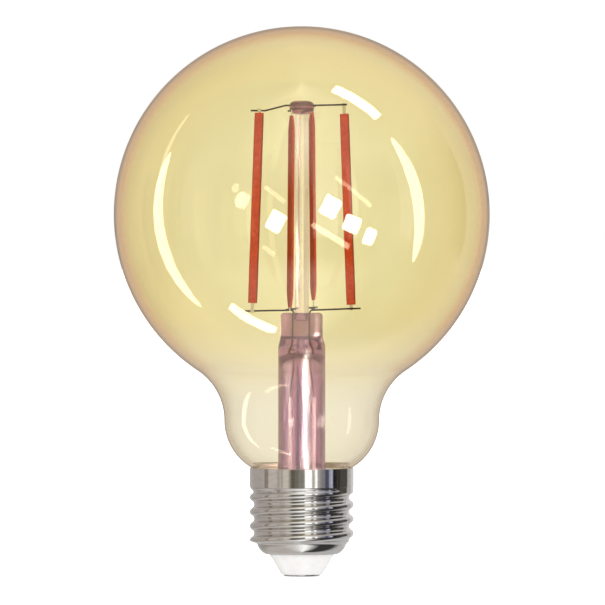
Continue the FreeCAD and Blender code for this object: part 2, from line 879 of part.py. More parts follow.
def glass_rods(d, frame):
    """Exhaust tube with its sealed tip, support rod, and the bead that grips the two top wires."""
    tube = new_body("exhaust_tube")
    revolve(tube, [
        Corner(AXIS, d.exhaust_tip_z),
        Corner(d.exhaust_radius, d.exhaust_tip_z + d.exhaust_radius, d.exhaust_radius),
        Corner(d.exhaust_radius, d.exhaust_top_z),
        Corner(d.exhaust_bore, d.exhaust_top_z),
        Corner(d.exhaust_bore, d.exhaust_tip_z + d.exhaust_radius),
        Corner(AXIS, d.exhaust_tip_z + d.exhaust_radius - d.exhaust_bore, d.exhaust_bore, RIGHT),
    ])
    rod = pin("support_rod", d.rod_radius, d.rod_foot_z, d.rod_top_z)
    as_node(rod)
    rise = d.bead_top_z - d.bead_waist_z
    dome_arc = (square(d.bead_radius) + square(rise)) / (rise * 2)
    bead = new_body("top_bead")
    revolve(bead, [
        Corner(AXIS, d.rod_top_z),
        Corner(d.bead_foot_radius, d.rod_top_z),
        Corner(d.bead_radius, d.bead_waist_z, d.bead_low_arc),
        Corner(AXIS, d.bead_top_z, dome_arc),
    ])
    right_through = (d.bead_radius + d.bead_low_arc) * 2
    for plane, z in (("YZ_Plane", d.cross_wire_z), ("XZ_Plane", d.deep_wire_z)):
        tunnel = new_sketch(bead, plane)
        draw_circle(tunnel, AXIS, z, d.wire_radius)
        extrude(bead, "Pocket", tunnel, right_through, symmetric=True)
    place(bead, frame)


def frame_wires(d, frame):
    """The wires that hold and feed the filaments, and the leads down to the driver board."""
    across = wire("top_wire_left_right", "XZ_Plane", [
        Corner(-d.cross_left_x, d.cross_left_z),
        Corner(-d.cross_left_knee_x, d.cross_left_z),
        Corner(-d.cross_bead_x, d.cross_wire_z),
        Corner(d.cross_bead_x, d.cross_wire_z),
        Corner(d.cross_right_x, d.cross_right_z)], d.wire_radius, d.cross_bend)
    deep = wire("top_wire_front_back", "YZ_Plane", [
        Corner(-d.deep_reach, d.deep_front_z),
        Corner(-d.cross_bead_x, d.deep_wire_z),
        Corner(d.cross_bead_x, d.deep_wire_z),
        Corner(d.deep_reach, d.deep_back_z)], d.wire_radius, d.cross_bend)
    place(across, frame)
    place(deep, frame)
    sides = (("left", -1, "front", d.left_lead_end_x, d.left_lead_end_z),
             ("right", 1, "back", d.right_lead_end_x, d.right_lead_end_z))
    for name, side, branch_name, end_x, end_z in sides:
        inner = wire(f"inner_lead_{name}", "XZ_Plane", [
            Corner(d.lead_x * side, d.seal_top_z),
            Corner(d.lead_x * side, d.lead_corner_z),
            Corner(end_x * side, end_z)], d.wire_radius, d.wire_bend)
        branch = wire(f"branch_wire_{branch_name}", "XY_Plane", [
            Corner(d.branch_x * side, d.branch_tail_y * -side),
            Corner(d.branch_x * side, d.branch_turn_y * side),
            Corner(AXIS, d.branch_join_y * side),
            Corner(AXIS, d.branch_end_y * side)], d.wire_radius, d.branch_bend, d.branch_z)
        outer = wire(f"outer_lead_{name}", "XZ_Plane", [
            Corner(d.lead_x * side, d.seal_foot_z),
            Corner(d.lead_x * side, d.lead_drop_z),
            Corner(d.lead_spread_x * side, d.lead_spread_z),
            Corner(d.lead_spread_x * side, d.lead_turn_z),
            Corner(d.lead_pad_x * side, d.lead_pad_z),
            Corner(d.lead_pad_x * side, d.pin_foot_z)], d.wire_radius, d.lead_bend)
        seal = as_node(pin(f"seal_wire_{name}", d.wire_radius, d.seal_foot_z, d.seal_top_z))
        place(seal, frame, placement(d.lead_x * side, AXIS, d.seal_foot_z))
        sleeve = new_body(f"lead_sleeve_{name}")
        ring = new_sketch(sleeve, "XY_Plane", d.sleeve_foot_z)
        draw_circle(ring, d.lead_spread_x * side, AXIS, d.sleeve_radius)
        draw_circle(ring, d.lead_spread_x * side, AXIS, d.wire_radius)
        extrude(sleeve, "Pad", ring, d.sleeve_top_z - d.sleeve_foot_z)
        for part in (inner, branch, outer, sleeve):
            place(part, frame)


def filament(d, name, azimuth, lift, low_tab, top_tab, frame):
    """One LED filament: coating, ceramic strip, chips and end tabs, leaning in at the top."""
    length = d.filament_length
    start = Size.of(0.0)
    strip_foot = d.strip_end
    strip_top = length - d.strip_end
    beside_wire = d.wire_radius + d.tab_thickness / 2
    steps = (frame, placement(angle=azimuth),
             placement(d.filament_foot_radius, beside_wire, d.filament_foot_z + lift,
                       "0; 1; 0", -d.filament_tilt))

    coating = new_body(f"filament_{name}_phosphor")
    section = new_sketch(coating, "XY_Plane")
    draw_rounded_box(section, d.filament_width, d.filament_thickness, d.filament_edge_arc)
    extrude(coating, "Pad", section, length)
    tapers = new_sketch(coating, "YZ_Plane")
    for side in (1, -1):
        tip = d.filament_tip_thickness / 2 * side
        skin = d.filament_thickness / 2 * side
        outside = d.filament_thickness * side
        for end, inward in ((start, 1), (length, -1)):
            full = end + d.filament_taper * inward
            beyond = end - d.strip_end * inward
            draw_outline(tapers, [Corner(tip, end), Corner(tip, beyond),
                                  Corner(outside, beyond), Corner(outside, full),
                                  Corner(skin, full)])
    extrude(coating, "Pocket", tapers, d.filament_width * 2, symmetric=True)
    hollow = new_sketch(coating, "XZ_Plane")
    draw_box(hollow, -d.strip_width / 2, d.strip_width / 2, strip_foot, strip_top)
    extrude(coating, "Pocket", hollow, d.strip_thickness, symmetric=True)
    slots = new_sketch(coating, "XZ_Plane")
    for foot, top in ((start, strip_foot), (strip_top, length)):
        draw_box(slots, -d.tab_width / 2, d.tab_width / 2, foot, top)
    extrude(coating, "Pocket", slots, d.tab_thickness, symmetric=True)
    chip_face = -d.strip_thickness / 2
    for body, kind in ((coating, "Pocket"), (new_body(f"filament_{name}_chips"), "Pad")):
        seat = new_sketch(body, "XZ_Plane", chip_face)
        draw_box(seat, -d.chip_width / 2, d.chip_width / 2, d.chip_start,
                 d.chip_start + d.chip_length)
        chip = extrude(body, kind, seat, d.chip_height, reverse=kind == "Pad")
        repeat_up(body, chip, seat, d.chip_step, d.chip_count)
        place(body, *steps)

    strip = as_node(block(f"filament_{name}_strip", d.strip_width, d.strip_thickness,
                          strip_top - strip_foot))
    place(strip, *steps, placement(-d.strip_width / 2, -d.strip_thickness / 2, strip_foot))
    tabs = group(f"filament_{name}_tabs", [
        block(f"{name}_low_tab", d.tab_width, d.tab_thickness, low_tab + strip_foot,
              z=-low_tab),
        block(f"{name}_top_tab", d.tab_width, d.tab_thickness, top_tab + d.strip_end,
              z=strip_top)])
    place(tabs, *steps)


def hole_places(d):
    """Centre, radius and name of every wire or pin that passes through the driver board."""
    pin_radius = d.pin_radius
    places = {
        "capacitor_plus": (d.capacitor_x - d.capacitor_pin_x, d.capacitor_y, pin_radius),
        "capacitor_minus": (d.capacitor_x + d.capacitor_pin_x, d.capacitor_y, pin_radius),
        "inductor_start": (d.inductor_x - d.inductor_pin_x, d.inductor_y, pin_radius),
        "inductor_end": (d.inductor_x + d.inductor_pin_x, d.inductor_y, pin_radius),
        "fuse_low": (d.fuse_x, d.fuse_y, pin_radius),
        "fuse_high": (d.fuse_x + d.fuse_loop_x, d.fuse_y, pin_radius),
        "lead_left": (-d.lead_pad_x, AXIS, d.wire_radius),
        "lead_right": (d.lead_pad_x, AXIS, d.wire_radius),
        "shell": (AXIS, d.shell_wire_y, pin_radius),
        "contact": (AXIS, AXIS, d.contact_wire_radius),
    }
    middle = (d.radio_pin_count - 1) / 2
    for index in range(int(d.radio_pin_count.value)):
        x = d.radio_pin_step * (Size.of(index) - middle)
        places[f"radio_{index + 1}"] = (x, d.radio_board_y, pin_radius)
    return places


def driver_cup(d, frame):
    """Insulating cup that lines the screw shell and holds the driver board on a ledge."""
    inside = d.cup_radius - d.cup_wall
    floor = d.cup_foot_z + d.cup_wall
    body = new_body("driver_cup")
    revolve(body, [
        Corner(d.cup_hole_radius, d.cup_foot_z),
        Corner(d.cup_radius, d.cup_foot_z),
        Corner(d.cup_radius, d.cup_top_z),
        Corner(inside, d.cup_top_z),
        Corner(inside, d.ledge_z),
        Corner(d.ledge_radius, d.ledge_z),
        Corner(d.ledge_radius, floor),
        Corner(d.cup_hole_radius, floor),
    ])
    place(body, frame)


def driver_board(d, frame, places):
    """Round driver board with a hole for every pin."""
    body = new_body("driver_board")
    disc = new_sketch(body, "XY_Plane", d.ledge_z)
    draw_circle(disc, AXIS, AXIS, d.board_radius)
    for x, y, radius in places.values():
        draw_circle(disc, x, y, radius)
    extrude(body, "Pad", disc, d.board_thickness)
    place(body, frame)


def solder_joints(d, frame, places):
    """A cone of solder under the board around every pin."""
    joints = []
    height = d.ledge_z - d.pin_foot_z
    for name, (x, y, radius) in places.items():
        cone = primitive("Cone", f"{name}_solder", Radius1=radius + d.solder_margin,
                         Radius2=radius + d.solder_spread, Height=height)
        place(cone, placement(x, y, d.pin_foot_z))
        hole = pin(f"{name}_solder_hole", radius, d.pin_foot_z, d.ledge_z, x, y)
        joints.append(cut(f"{name}_joint", cone, hole))
    place(group("solder_joints", joints), frame)


def component_leads(d, frame, places, board_top):
    """Straight pins of the capacitor, the inductor, the fuse resistor and the radio board."""
    groups = (("component_leads", ("capacitor_plus", "capacitor_minus",
                                   "inductor_start", "inductor_end", "fuse_low")),
              ("radio_pins", tuple(name for name in places if name.startswith("radio"))))
    for label, names in groups:
        pins = []
        for name in names:
            x, y, radius = places[name]
            top = board_top + d.fuse_standoff if name == "fuse_low" else board_top
            pins.append(pin(f"{name}_pin", radius, d.pin_foot_z, top, x, y))
        place(group(label, pins), frame)


def rounded_block(label, width, depth, height, arc):
    """A moulded package or can with rounded upright edges, standing on its own origin."""
    body = new_body(label)
    section = new_sketch(body, "XY_Plane")
    draw_rounded_box(section, width, depth, arc)
    extrude(body, "Pad", section, height)
    return body


def driver_parts(d, frame, board_top):
    """The parts that stand on the driver board."""
    groove = d.capacitor_groove
    capacitor = new_body("bulk_capacitor")
    revolve(capacitor, [
        Corner(AXIS, AXIS),
        Corner(d.capacitor_radius - groove, AXIS),
        Corner(d.capacitor_radius, groove, groove),
        Corner(d.capacitor_radius, d.capacitor_groove_z - groove),
        Corner(d.capacitor_radius - groove, d.capacitor_groove_z),
        Corner(d.capacitor_radius, d.capacitor_groove_z + groove),
        Corner(d.capacitor_radius, d.capacitor_height - groove),
        Corner(d.capacitor_radius - groove, d.capacitor_height, groove),
        Corner(AXIS, d.capacitor_height),
    ])
    place(capacitor, frame, placement(d.capacitor_x, d.capacitor_y, board_top))

    winding_top = d.inductor_height - d.inductor_flange
    inductor = new_body("power_inductor")
    revolve(inductor, [
        Corner(AXIS, AXIS),
        Corner(d.inductor_radius, AXIS),
        Corner(d.inductor_radius, d.inductor_flange),
        Corner(d.inductor_post_radius, d.inductor_flange),
        Corner(d.inductor_post_radius, winding_top),
        Corner(d.inductor_radius, winding_top),
        Corner(d.inductor_radius, d.inductor_height),
        Corner(AXIS, d.inductor_height),
    ])
    winding = new_body("inductor_winding")
    ring = new_sketch(winding, "XY_Plane", d.inductor_flange)
    draw_circle(ring, AXIS, AXIS, d.winding_radius)
    draw_circle(ring, AXIS, AXIS, d.inductor_post_radius)
    extrude(winding, "Pad", ring, winding_top - d.inductor_flange)
    for part in (inductor, winding):
        place(part, frame, placement(d.inductor_x, d.inductor_y, board_top))

    fuse_top = d.fuse_height - d.fuse_cap
    fuse = new_body("fuse_resistor")
    revolve(fuse, [
        Corner(AXIS, AXIS),
        Corner(d.fuse_radius - d.fuse_edge, AXIS),
        Corner(d.fuse_radius, d.fuse_edge, d.fuse_edge),
        Corner(d.fuse_radius, d.fuse_cap - d.fuse_edge),
        Corner(d.fuse_waist_radius, d.fuse_cap),
        Corner(d.fuse_waist_radius, fuse_top),
        Corner(d.fuse_radius, fuse_top + d.fuse_edge),
        Corner(d.fuse_radius, d.fuse_height - d.fuse_edge),
        Corner(d.fuse_radius - d.fuse_edge, d.fuse_height, d.fuse_edge),
        Corner(AXIS, d.fuse_height),
    ])
    fuse_foot = board_top + d.fuse_standoff
    place(fuse, frame, placement(d.fuse_x, d.fuse_y, fuse_foot))
    loop_top = fuse_foot + d.fuse_height + d.fuse_loop
    loop = wire("fuse_resistor_lead", "XZ_Plane", [
        Corner(d.fuse_x, fuse_foot + d.fuse_height),
        Corner(d.fuse_x, loop_top),
        Corner(d.fuse_x + d.fuse_loop_x, loop_top),
        Corner(d.fuse_x + d.fuse_loop_x, d.pin_foot_z)], d.pin_radius, d.fuse_bend, -d.fuse_y)
    place(loop, frame)

    bridge = rounded_block("bridge_rectifier", d.bridge_length, d.bridge_width,
                           d.bridge_height, d.package_edge)
    place(bridge, frame, placement(d.bridge_x, d.bridge_y, board_top))
    chip = rounded_block("driver_chip", d.driver_chip_size, d.driver_chip_size,
                         d.driver_chip_height, d.package_edge)
    place(chip, frame, placement(AXIS, d.driver_chip_y, board_top))


def chip_legs(d, frame, board_top):
    """Flat legs of the driver chip and of the bridge rectifier, resting on the board."""
    legs = []
    for side, side_name in ((1, "right"), (-1, "left")):
        leg_x = (d.driver_chip_size + d.leg_length) / 2 * side
        for row in (-1, 0, 1):
            y = d.driver_chip_y + d.leg_step * row
            legs.append(block(f"driver_leg_{side_name}_{row + 2}", d.leg_length, d.leg_width,
                              d.leg_height, leg_x, y, board_top))
        leg_y = d.bridge_y + (d.bridge_width + d.leg_width) / 2 * side
        for row, row_name in ((-1, "start"), (1, "end")):
            x = d.bridge_x + d.bridge_leg_x * row
            legs.append(block(f"bridge_leg_{side_name}_{row_name}", d.leg_height, d.leg_width,
                              d.leg_height, x, leg_y, board_top))
    place(group("package_legs", legs), frame)


def small_parts(d, frame, board_top):
    """Ceramic capacitors and chip resistors, each kind in one group."""
    kinds = (("ceramic_capacitors", "ceramic", CERAMIC_PLACES,
              (d.ceramic_length, d.ceramic_width, d.ceramic_height)),
             ("chip_resistors", "resistor", RESISTOR_PLACES,
              (d.resistor_length, d.resistor_width, d.resistor_height)))
    for label, name, places, (length, width, height) in kinds:
        parts = [block(f"{name}_{index}", length, width, height, x, y, board_top)
                 for index, (x, y) in enumerate(places, start=1)]
        place(group(label, parts), frame)


def radio_parts(d, frame, board_top):
    """Upright radio board with its chip and crystal, and the antenna wire up the stem."""
    board = as_node(block("radio_board", d.radio_board_width, d.radio_board_thickness,
                          d.radio_board_height))
    place(board, frame, placement(-d.radio_board_width / 2,
                                  d.radio_board_y - d.radio_board_thickness / 2, board_top))
    face = d.radio_board_thickness / 2
    chip_y = d.radio_board_y + face + d.radio_chip_thickness / 2
    chip = rounded_block("radio_chip", d.radio_chip_width, d.radio_chip_thickness,
                         d.radio_chip_height, d.package_edge / 2)
    place(chip, frame, placement(AXIS, chip_y, board_top + d.radio_chip_lift))
    crystal_y = d.radio_board_y - face - d.crystal_thickness / 2
    crystal = rounded_block("radio_crystal", d.crystal_width, d.crystal_thickness,
                            d.crystal_height, d.package_edge)
    place(crystal, frame, placement(AXIS, crystal_y, board_top + d.crystal_lift))
    foot = board_top + d.radio_board_height
    antenna = wire("antenna_wire", "YZ_Plane", [
        Corner(d.radio_board_y, foot),
        Corner(d.radio_board_y, d.antenna_knee_z),
        Corner(d.antenna_y, d.antenna_jog_z),
        Corner(d.antenna_y, d.antenna_top_z)], d.antenna_radius, d.antenna_bend)
    place(antenna, frame)


def supply_wires(d, frame):
    """The two mains wires: one into the contact's rivet, one over the cup to the shell."""
    contact = as_node(pin("contact_wire", d.contact_wire_radius, d.rivet_floor_z,
                          d.contact_wire_top_z))
    place(contact, frame, placement(AXIS, AXIS, d.rivet_floor_z))
    shell = wire("shell_wire", "YZ_Plane", [
        Corner(d.shell_wire_y, d.pin_foot_z),
        Corner(d.shell_wire_y, d.shell_wire_z),
        Corner(d.shell_wire_end_y, d.shell_wire_z)], d.pin_radius, d.shell_wire_bend)
    place(shell, frame)


def build(d):
    """Build every sub-part of the bulb."""
    frame = placement(angle=d.frame_turn)
    root_centre, root_z = globe(d)
    cap_shell(d)
    cap_cement(d, root_centre, root_z)
    cap_insulator(d)
    centre_contact(d)
    stem_flare(d, frame)
    glass_rods(d, frame)
    frame_wires(d, frame)
    filament(d, "right", 0, d.right_lift, d.right_low_tab, d.right_top_tab, frame)
    filament(d, "back", 90, d.back_lift, d.back_low_tab, d.back_top_tab, frame)
    filament(d, "left", 180, d.left_lift, d.left_low_tab, d.left_top_tab, frame)
    filament(d, "front", 270, d.front_lift, d.front_low_tab, d.front_top_tab, frame)
    board_top = d.ledge_z + d.board_thickness
    places = hole_places(d)
    driver_cup(d, frame)
    driver_board(d, frame, places)
    solder_joints(d, frame, places)
    component_leads(d, frame, places, board_top)
    driver_parts(d, frame, board_top)
    chip_legs(d, frame, board_top)
    small_parts(d, frame, board_top)
    radio_parts(d, frame, board_top)
    supply_wires(d, frame)


def faults():
    """Every object that failed to compute, and every sub-part without a sound solid."""
    found = []
    for item in doc.Objects:
        if "Invalid" in item.State or "Error" in item.State:
            found.append(f"{item.Label}: state {item.State}")
    for part in nodes:
        shape = part.Shape
        if shape.isNull() or not shape.isValid() or not shape.Solids:
            found.append(f"{part.Label}: no valid solid")
    return found


def write_parts():
    """Write each sub-part to a STEP file named after its label."""
    os.makedirs("parts", exist_ok=True)
    for part in nodes:
        part.Shape.exportStep(os.path.join("parts", f"{part.Label}.step"))


dimensions = Dimensions(DIMENSIONS)
doc.recompute()
build(dimensions)
doc.recompute()
problems = faults()
if problems:
    raise RuntimeError("; ".join(problems))
write_parts()
for part in nodes:
    solids = part.Shape.Solids
    print(f"{part.Label}: {len(solids)} solid(s), {part.Shape.Volume:.2f} mm3")
print(f"{len(nodes)} sub-parts written")
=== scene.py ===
import math

import bmesh
import bpy
from mathutils import Matrix, Vector


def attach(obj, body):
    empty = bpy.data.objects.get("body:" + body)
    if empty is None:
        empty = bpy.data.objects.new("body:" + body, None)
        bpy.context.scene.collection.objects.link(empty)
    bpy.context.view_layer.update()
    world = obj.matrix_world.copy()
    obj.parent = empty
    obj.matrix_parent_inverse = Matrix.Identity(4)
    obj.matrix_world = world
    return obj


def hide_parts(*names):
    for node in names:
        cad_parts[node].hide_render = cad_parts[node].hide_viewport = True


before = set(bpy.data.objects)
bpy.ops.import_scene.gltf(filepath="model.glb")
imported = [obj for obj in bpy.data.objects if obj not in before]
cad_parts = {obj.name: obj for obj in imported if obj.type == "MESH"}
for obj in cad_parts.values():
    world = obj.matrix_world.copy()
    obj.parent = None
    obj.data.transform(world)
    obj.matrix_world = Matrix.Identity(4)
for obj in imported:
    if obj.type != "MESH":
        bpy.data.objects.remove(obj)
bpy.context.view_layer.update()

# The visual model of the smart filament light bulb. Lengths are millimetres in the part's own frame
# (+Z up the bulb, origin on the flat end of the centre contact) and are multiplied by MM to become
# metres. Angles are degrees.

MM = 0.001
BODY = "root"
TURN = 2 * math.pi
# the squareness of a circle, and the radius below which a ring is a pole
ROUND = 2
POLE_RADIUS = 1e-6

# ---------------------------------------------------------------- driving sizes

# These are the CAD's sizes. What differs has a comment of its own: the crimps, the bead and the
# squareness values.
GLOBE_RADIUS = 47.5
GLOBE_CENTRE = 91.5
WAIST_ARC = 15.0
WAIST_CENTRE = 34.6
THROAT_ARC = 14.0
ROOT_ARC = 2.8
NECK_RADIUS = 11.3
NECK_FOOT = 19.6
GLASS_WALL = 0.9

SHELL_RADIUS = 13.15
SHELL_WALL = 0.3
RIM = 27.4
BAND_FOOT = 22.6
THREAD_TOP = 21.0
THREAD_FOOT = 9.0
PITCH = 3.629
THREAD_DEPTH = 1.097
THREAD_ARC = 1.025
THREAD_STEP = 0.12
DOME_TOP = 8.2
DOME_RADIUS = 11.3
DOME_ARC = 4.0
DOME_FOOT_RADIUS = 9.2
LIP = 5.65
LIP_RADIUS = 8.2
# The crimps under the plain band, which the CAD leaves out: the angle from the front of each, the
# height of both, and the share of the way out from a crimp's middle that is pressed in full.
CRIMP_SIDES = (-28.7, 40.7)
CRIMP_HEIGHT = 22.0
CRIMP_HALF_WIDTH = 1.3
CRIMP_HALF_HEIGHT = 0.35
CRIMP_DEPTH = 0.35
CRIMP_FLOOR = 0.3

CONTACT_RADIUS = 4.65
CONTACT_THICKNESS = 0.45
CONTACT_GAP = 0.08
CONE_FOOT_RADIUS = 5.35
CONE_FOOT = 0.84
CONE_FOOT_ARC = 0.8
CONE_TOP_RADIUS = 8.15
CONE_TOP = 5.45
CONE_WALL = 1.2
FLANGE_RADIUS = 9.0
FLANGE_TOP = 6.9
INSULATOR_TOP = 7.4
BOSS_RADIUS = 2.2
BOSS_TOP = 4.6
RIVET_RADIUS = 1.1

FRAME_TURN = -14.7
STEM_RADIUS = 5.95
STEM_WALL = 1.1
SKIRT_TOP = 30.0
SKIRT_SEAL = 0.8
BORE_SHOULDER = 53.5
BORE_TOP = 56.5
BORE_TOP_ARC = 3.6
PRESS_TOP = 66.6
PRESS_WIDTH = 10.4
PRESS_THICKNESS = 5.0
PRESS_EDGE = 0.8
# how square the press is in section
PRESS_SQUARENESS = 4.5
PINCH_FOOT = 56.8
PINCH_TOP = 61.0
ROD_RADIUS = 1.8
ROD_FOOT = 64.6
ROD_TOP = 116.7
# the bead has the CAD's radius and top, but a squarer outline
BEAD_RADIUS = 3.1
BEAD_TOP = 120.2
BEAD_SQUARENESS = 3.4
EXHAUST_RADIUS = 1.7
EXHAUST_BORE = 0.9
EXHAUST_TIP = 16.0
EXHAUST_TOP = 58.5

WIRE_RADIUS = 0.22
TAB_THICKNESS = 0.12
FILAMENT_LENGTH = 48.2
FILAMENT_WIDTH = 2.3
FILAMENT_THICKNESS = 1.4
FILAMENT_TAPER = 4.5
FILAMENT_TIP = 0.56
# how square a coating is in section
COATING_SQUARENESS = 4
FILAMENT_FOOT = 69.0
FILAMENT_FOOT_RADIUS = 12.8
FILAMENT_TILT = 2.1
# azimuth in the stem's frame and lift of each filament
FILAMENTS = {"right": (0, -0.3), "back": (90, 0.6), "left": (180, 0.0), "front": (270, -0.8)}


# ---------------------------------------------------------------- outlines and meshes

def spot(x, y, z):
    """A point given in millimetres."""
    return Vector((x, y, z)) * MM


def arc(centre, radius, start, end, steps):
    """Points of an arc about a centre, from one angle to another."""
    points = []
    for step in range(steps + 1):
        angle = math.radians(start + (end - start) * step / steps)
        points.append((centre[0] + radius * math.cos(angle), centre[1] + radius * math.sin(angle)))
    return points


def bow(start, end, radius, side, steps):
    """The shorter arc from start to end; side is 1 when its centre lies left of the way there."""
    chord = Vector(end) - Vector(start)
    height = math.sqrt(radius ** 2 - chord.length_squared / 4)
    centre = (Vector(start) + Vector(end)) / 2
    centre += Vector((-chord.y, chord.x)).normalized() * height * side
    first = math.degrees(math.atan2(start[1] - centre.y, start[0] - centre.x))
    last = math.degrees(math.atan2(end[1] - centre.y, end[0] - centre.x))
    sweep = (last - first + 180) % 360 - 180
    return arc(centre, radius, first, first + sweep, steps)


def run(start, end, steps):
    """Evenly spaced points from start to end."""
    return [tuple(Vector(start).lerp(Vector(end), step / steps)) for step in range(steps + 1)]


def smooth_step(low, high, value):
    """0 below low, 1 above high, with a level start and end."""
    share = min(max((value - low) / (high - low), 0.0), 1.0)
    return share * share * (3 - 2 * share)


def rounded_square(across, along, squareness):
    """The size that takes a point of the unit circle out to a rounded square; 2 is the circle."""
    return (abs(across) ** squareness + abs(along) ** squareness) ** (-1 / squareness)


def skin(name, shells, cavities=()):
    """A mesh of closed shells, each a list of rings of points; a ring of one point is a pole.

    Faces look out of the material: outwards on shells and into the hollow on cavities.
    """
    mesh = bmesh.new()
    skins = [(shell, False) for shell in shells] + [(shell, True) for shell in cavities]
    for rings, hollow in skins:
        made = [[mesh.verts.new(point) for point in ring] for ring in rings]
        faces = []
        for low, high in zip(made, made[1:]):
            count = max(len(low), len(high))
            for index in range(count):
                following = (index + 1) % count
                lower = low if len(low) == 1 else [low[index], low[following]]
                upper = high if len(high) == 1 else [high[following], high[index]]
                faces.append(mesh.faces.new(lower + upper))
        bmesh.ops.recalc_face_normals(mesh, faces=faces)
        if hollow:
            bmesh.ops.reverse_faces(mesh, faces=faces)
    data = bpy.data.meshes.new(name)
    mesh.to_mesh(data)
    mesh.free()
    data.shade_smooth()
    piece = bpy.data.objects.new(name, data)
    bpy.context.scene.collection.objects.link(piece)
    return piece


def turned(outline, segments, shape=None):
    """Rings of an outline of (radius, height) points turned about Z; shape may vary the radius."""
    rings = []
    for radius, z in outline:
        if radius < POLE_RADIUS:
            rings.append([spot(0, 0, z)])
            continue
        ring = []
        for index in range(segments):
            angle = TURN * index / segments
            here = radius if shape is None else shape(radius, z, angle)
            ring.append(spot(here * math.cos(angle), here * math.sin(angle), z))
        rings.append(ring)
    return rings


def fit(piece, material, slot, *nodes, turn=0.0, sharp=None):
    """Give a piece its finish and body, and hide the CAD nodes that it stands for."""
    piece.data.materials.append(material)
    if turn:
        piece.data.transform(Matrix.Rotation(math.radians(turn), 4, "Z"))
    if sharp is not None:
        piece.data.set_sharp_from_angle(angle=math.radians(sharp))
    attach(piece, BODY)
    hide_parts(*nodes)


# ---------------------------------------------------------------- materials

def add_node(nodes, kind, **values):
    """Add a node and set its sockets or properties by name."""
    node = nodes.new(kind)
    for name, value in values.items():
        if name in node.inputs:
            node.inputs[name].default_value = value
        else:
            setattr(node, name, value)
    return node


def map_range(tree, value, low, high, to_low=0.0, to_high=1.0, easing="LINEAR"):
    """Add a Map Range node, which takes a value from low to high over to its new range."""
    node = tree.nodes.new("ShaderNodeMapRange")
    node.interpolation_type = easing
    settings = {"From Min": low, "From Max": high, "To Min": to_low, "To Max": to_high}
    for name, setting in settings.items():
        node.inputs[name].default_value = setting
    tree.links.new(value, node.inputs["Value"])
    return node.outputs["Result"]


def finish(name, colours, grain, roughness, bump, bump_grain=None, stretch=(1, 1, 1), **sockets):
    """A finish whose colour and gloss wander with a fine grain, with a bump of its own grain.

    colours is the darkest and the lightest shade, roughness its lowest and highest value, and
    bump and both grains are millimetres. sockets are even over the whole surface.
    """
    material = bpy.data.materials.new(name)
    material.use_nodes = True
    nodes = material.node_tree.nodes
    links = material.node_tree.links
    shader = nodes["Principled BSDF"]
    for socket, value in sockets.items():
        shader.inputs[socket.replace("_", " ")].default_value = value
    place = nodes.new("ShaderNodeTexCoord")
    scale = add_node(nodes, "ShaderNodeMapping", Scale=stretch)
    links.new(place.outputs["Object"], scale.inputs["Vector"])
    shade = add_node(nodes, "ShaderNodeTexNoise", Scale=1 / (grain * MM), Detail=6.0)
    fine = add_node(nodes, "ShaderNodeTexNoise", Scale=1 / ((bump_grain or grain) * MM), Detail=3.0)
    for texture in (shade, fine):
        links.new(scale.outputs["Vector"], texture.inputs["Vector"])
    ramp = nodes.new("ShaderNodeValToRGB")
    ramp.color_ramp.elements[0].position = 0.3
    ramp.color_ramp.elements[1].position = 0.7
    for element, colour in zip(ramp.color_ramp.elements, colours):
        element.color = (*colour, 1.0)
    links.new(shade.outputs["Fac"], ramp.inputs["Fac"])
    links.new(ramp.outputs["Color"], shader.inputs["Base Color"])
    gloss = map_range(material.node_tree, fine.outputs["Fac"], 0.0, 1.0, *roughness)
    links.new(gloss, shader.inputs["Roughness"])
    relief = add_node(nodes, "ShaderNodeBump", Distance=bump * MM, Strength=1.0)
    links.new(fine.outputs["Fac"], relief.inputs["Height"])
    links.new(relief.outputs["Normal"], shader.inputs["Normal"])
    return material


def soak(material, colour, density):
    """Let a glass take up light along the way through it; density is for each metre."""
    nodes = material.node_tree.nodes
    volume = add_node(nodes, "ShaderNodeVolumeAbsorption", Color=(*colour, 1.0), Density=density)
    output = nodes["Material Output"]
    material.node_tree.links.new(volume.outputs["Volume"], output.inputs["Volume"])


def glass(name, colours, ripple, grain, roughness=(0.0, 0.02), clearness=1.0):
    """Clear or tinted glass with a faint ripple; below a clearness of 1 it is a little milky."""
    return finish(name, colours, grain, roughness, ripple, Transmission_Weight=clearness, IOR=1.5)


def shade_by(material, factor, colour):
    """Blend the base colour towards another one by a factor that a node gives, 0 to 1."""
    nodes = material.node_tree.nodes
    links = material.node_tree.links
    base = nodes["Principled BSDF"].inputs["Base Color"]
    blend = nodes.new("ShaderNodeMix")
    blend.data_type = "RGBA"
    links.new(base.links[0].from_socket, blend.inputs[6])
    blend.inputs[7].default_value = (*colour, 1.0)
    links.new(factor, blend.inputs["Factor"])
    links.new(blend.outputs[2], base)


def height_factor(material, start, end):
    """0 where the piece is at the height start, 1 at the height end."""
    tree = material.node_tree
    parts = tree.nodes.new("ShaderNodeSeparateXYZ")
    place = tree.nodes.new("ShaderNodeTexCoord")
    tree.links.new(place.outputs["Object"], parts.inputs["Vector"])
    return map_range(tree, parts.outputs["Z"], start * MM, end * MM, easing="SMOOTHSTEP")


def facing_factor(material, start, end):
    """How far glass turns away from the eye: 0 up to start and 1 from end on.

    Light goes a longer way through a wall that turns away, so it looks deeper in colour.
    """
    tree = material.node_tree
    weight = tree.nodes.new("ShaderNodeLayerWeight")
    return map_range(tree, weight.outputs["Facing"], start, end, easing="SMOOTHSTEP")


def mesh_factor(material, name):
    """The value that the piece's mesh holds under a name."""
    reading = add_node(material.node_tree.nodes, "ShaderNodeAttribute", attribute_name=name)
    return reading.outputs["Fac"]


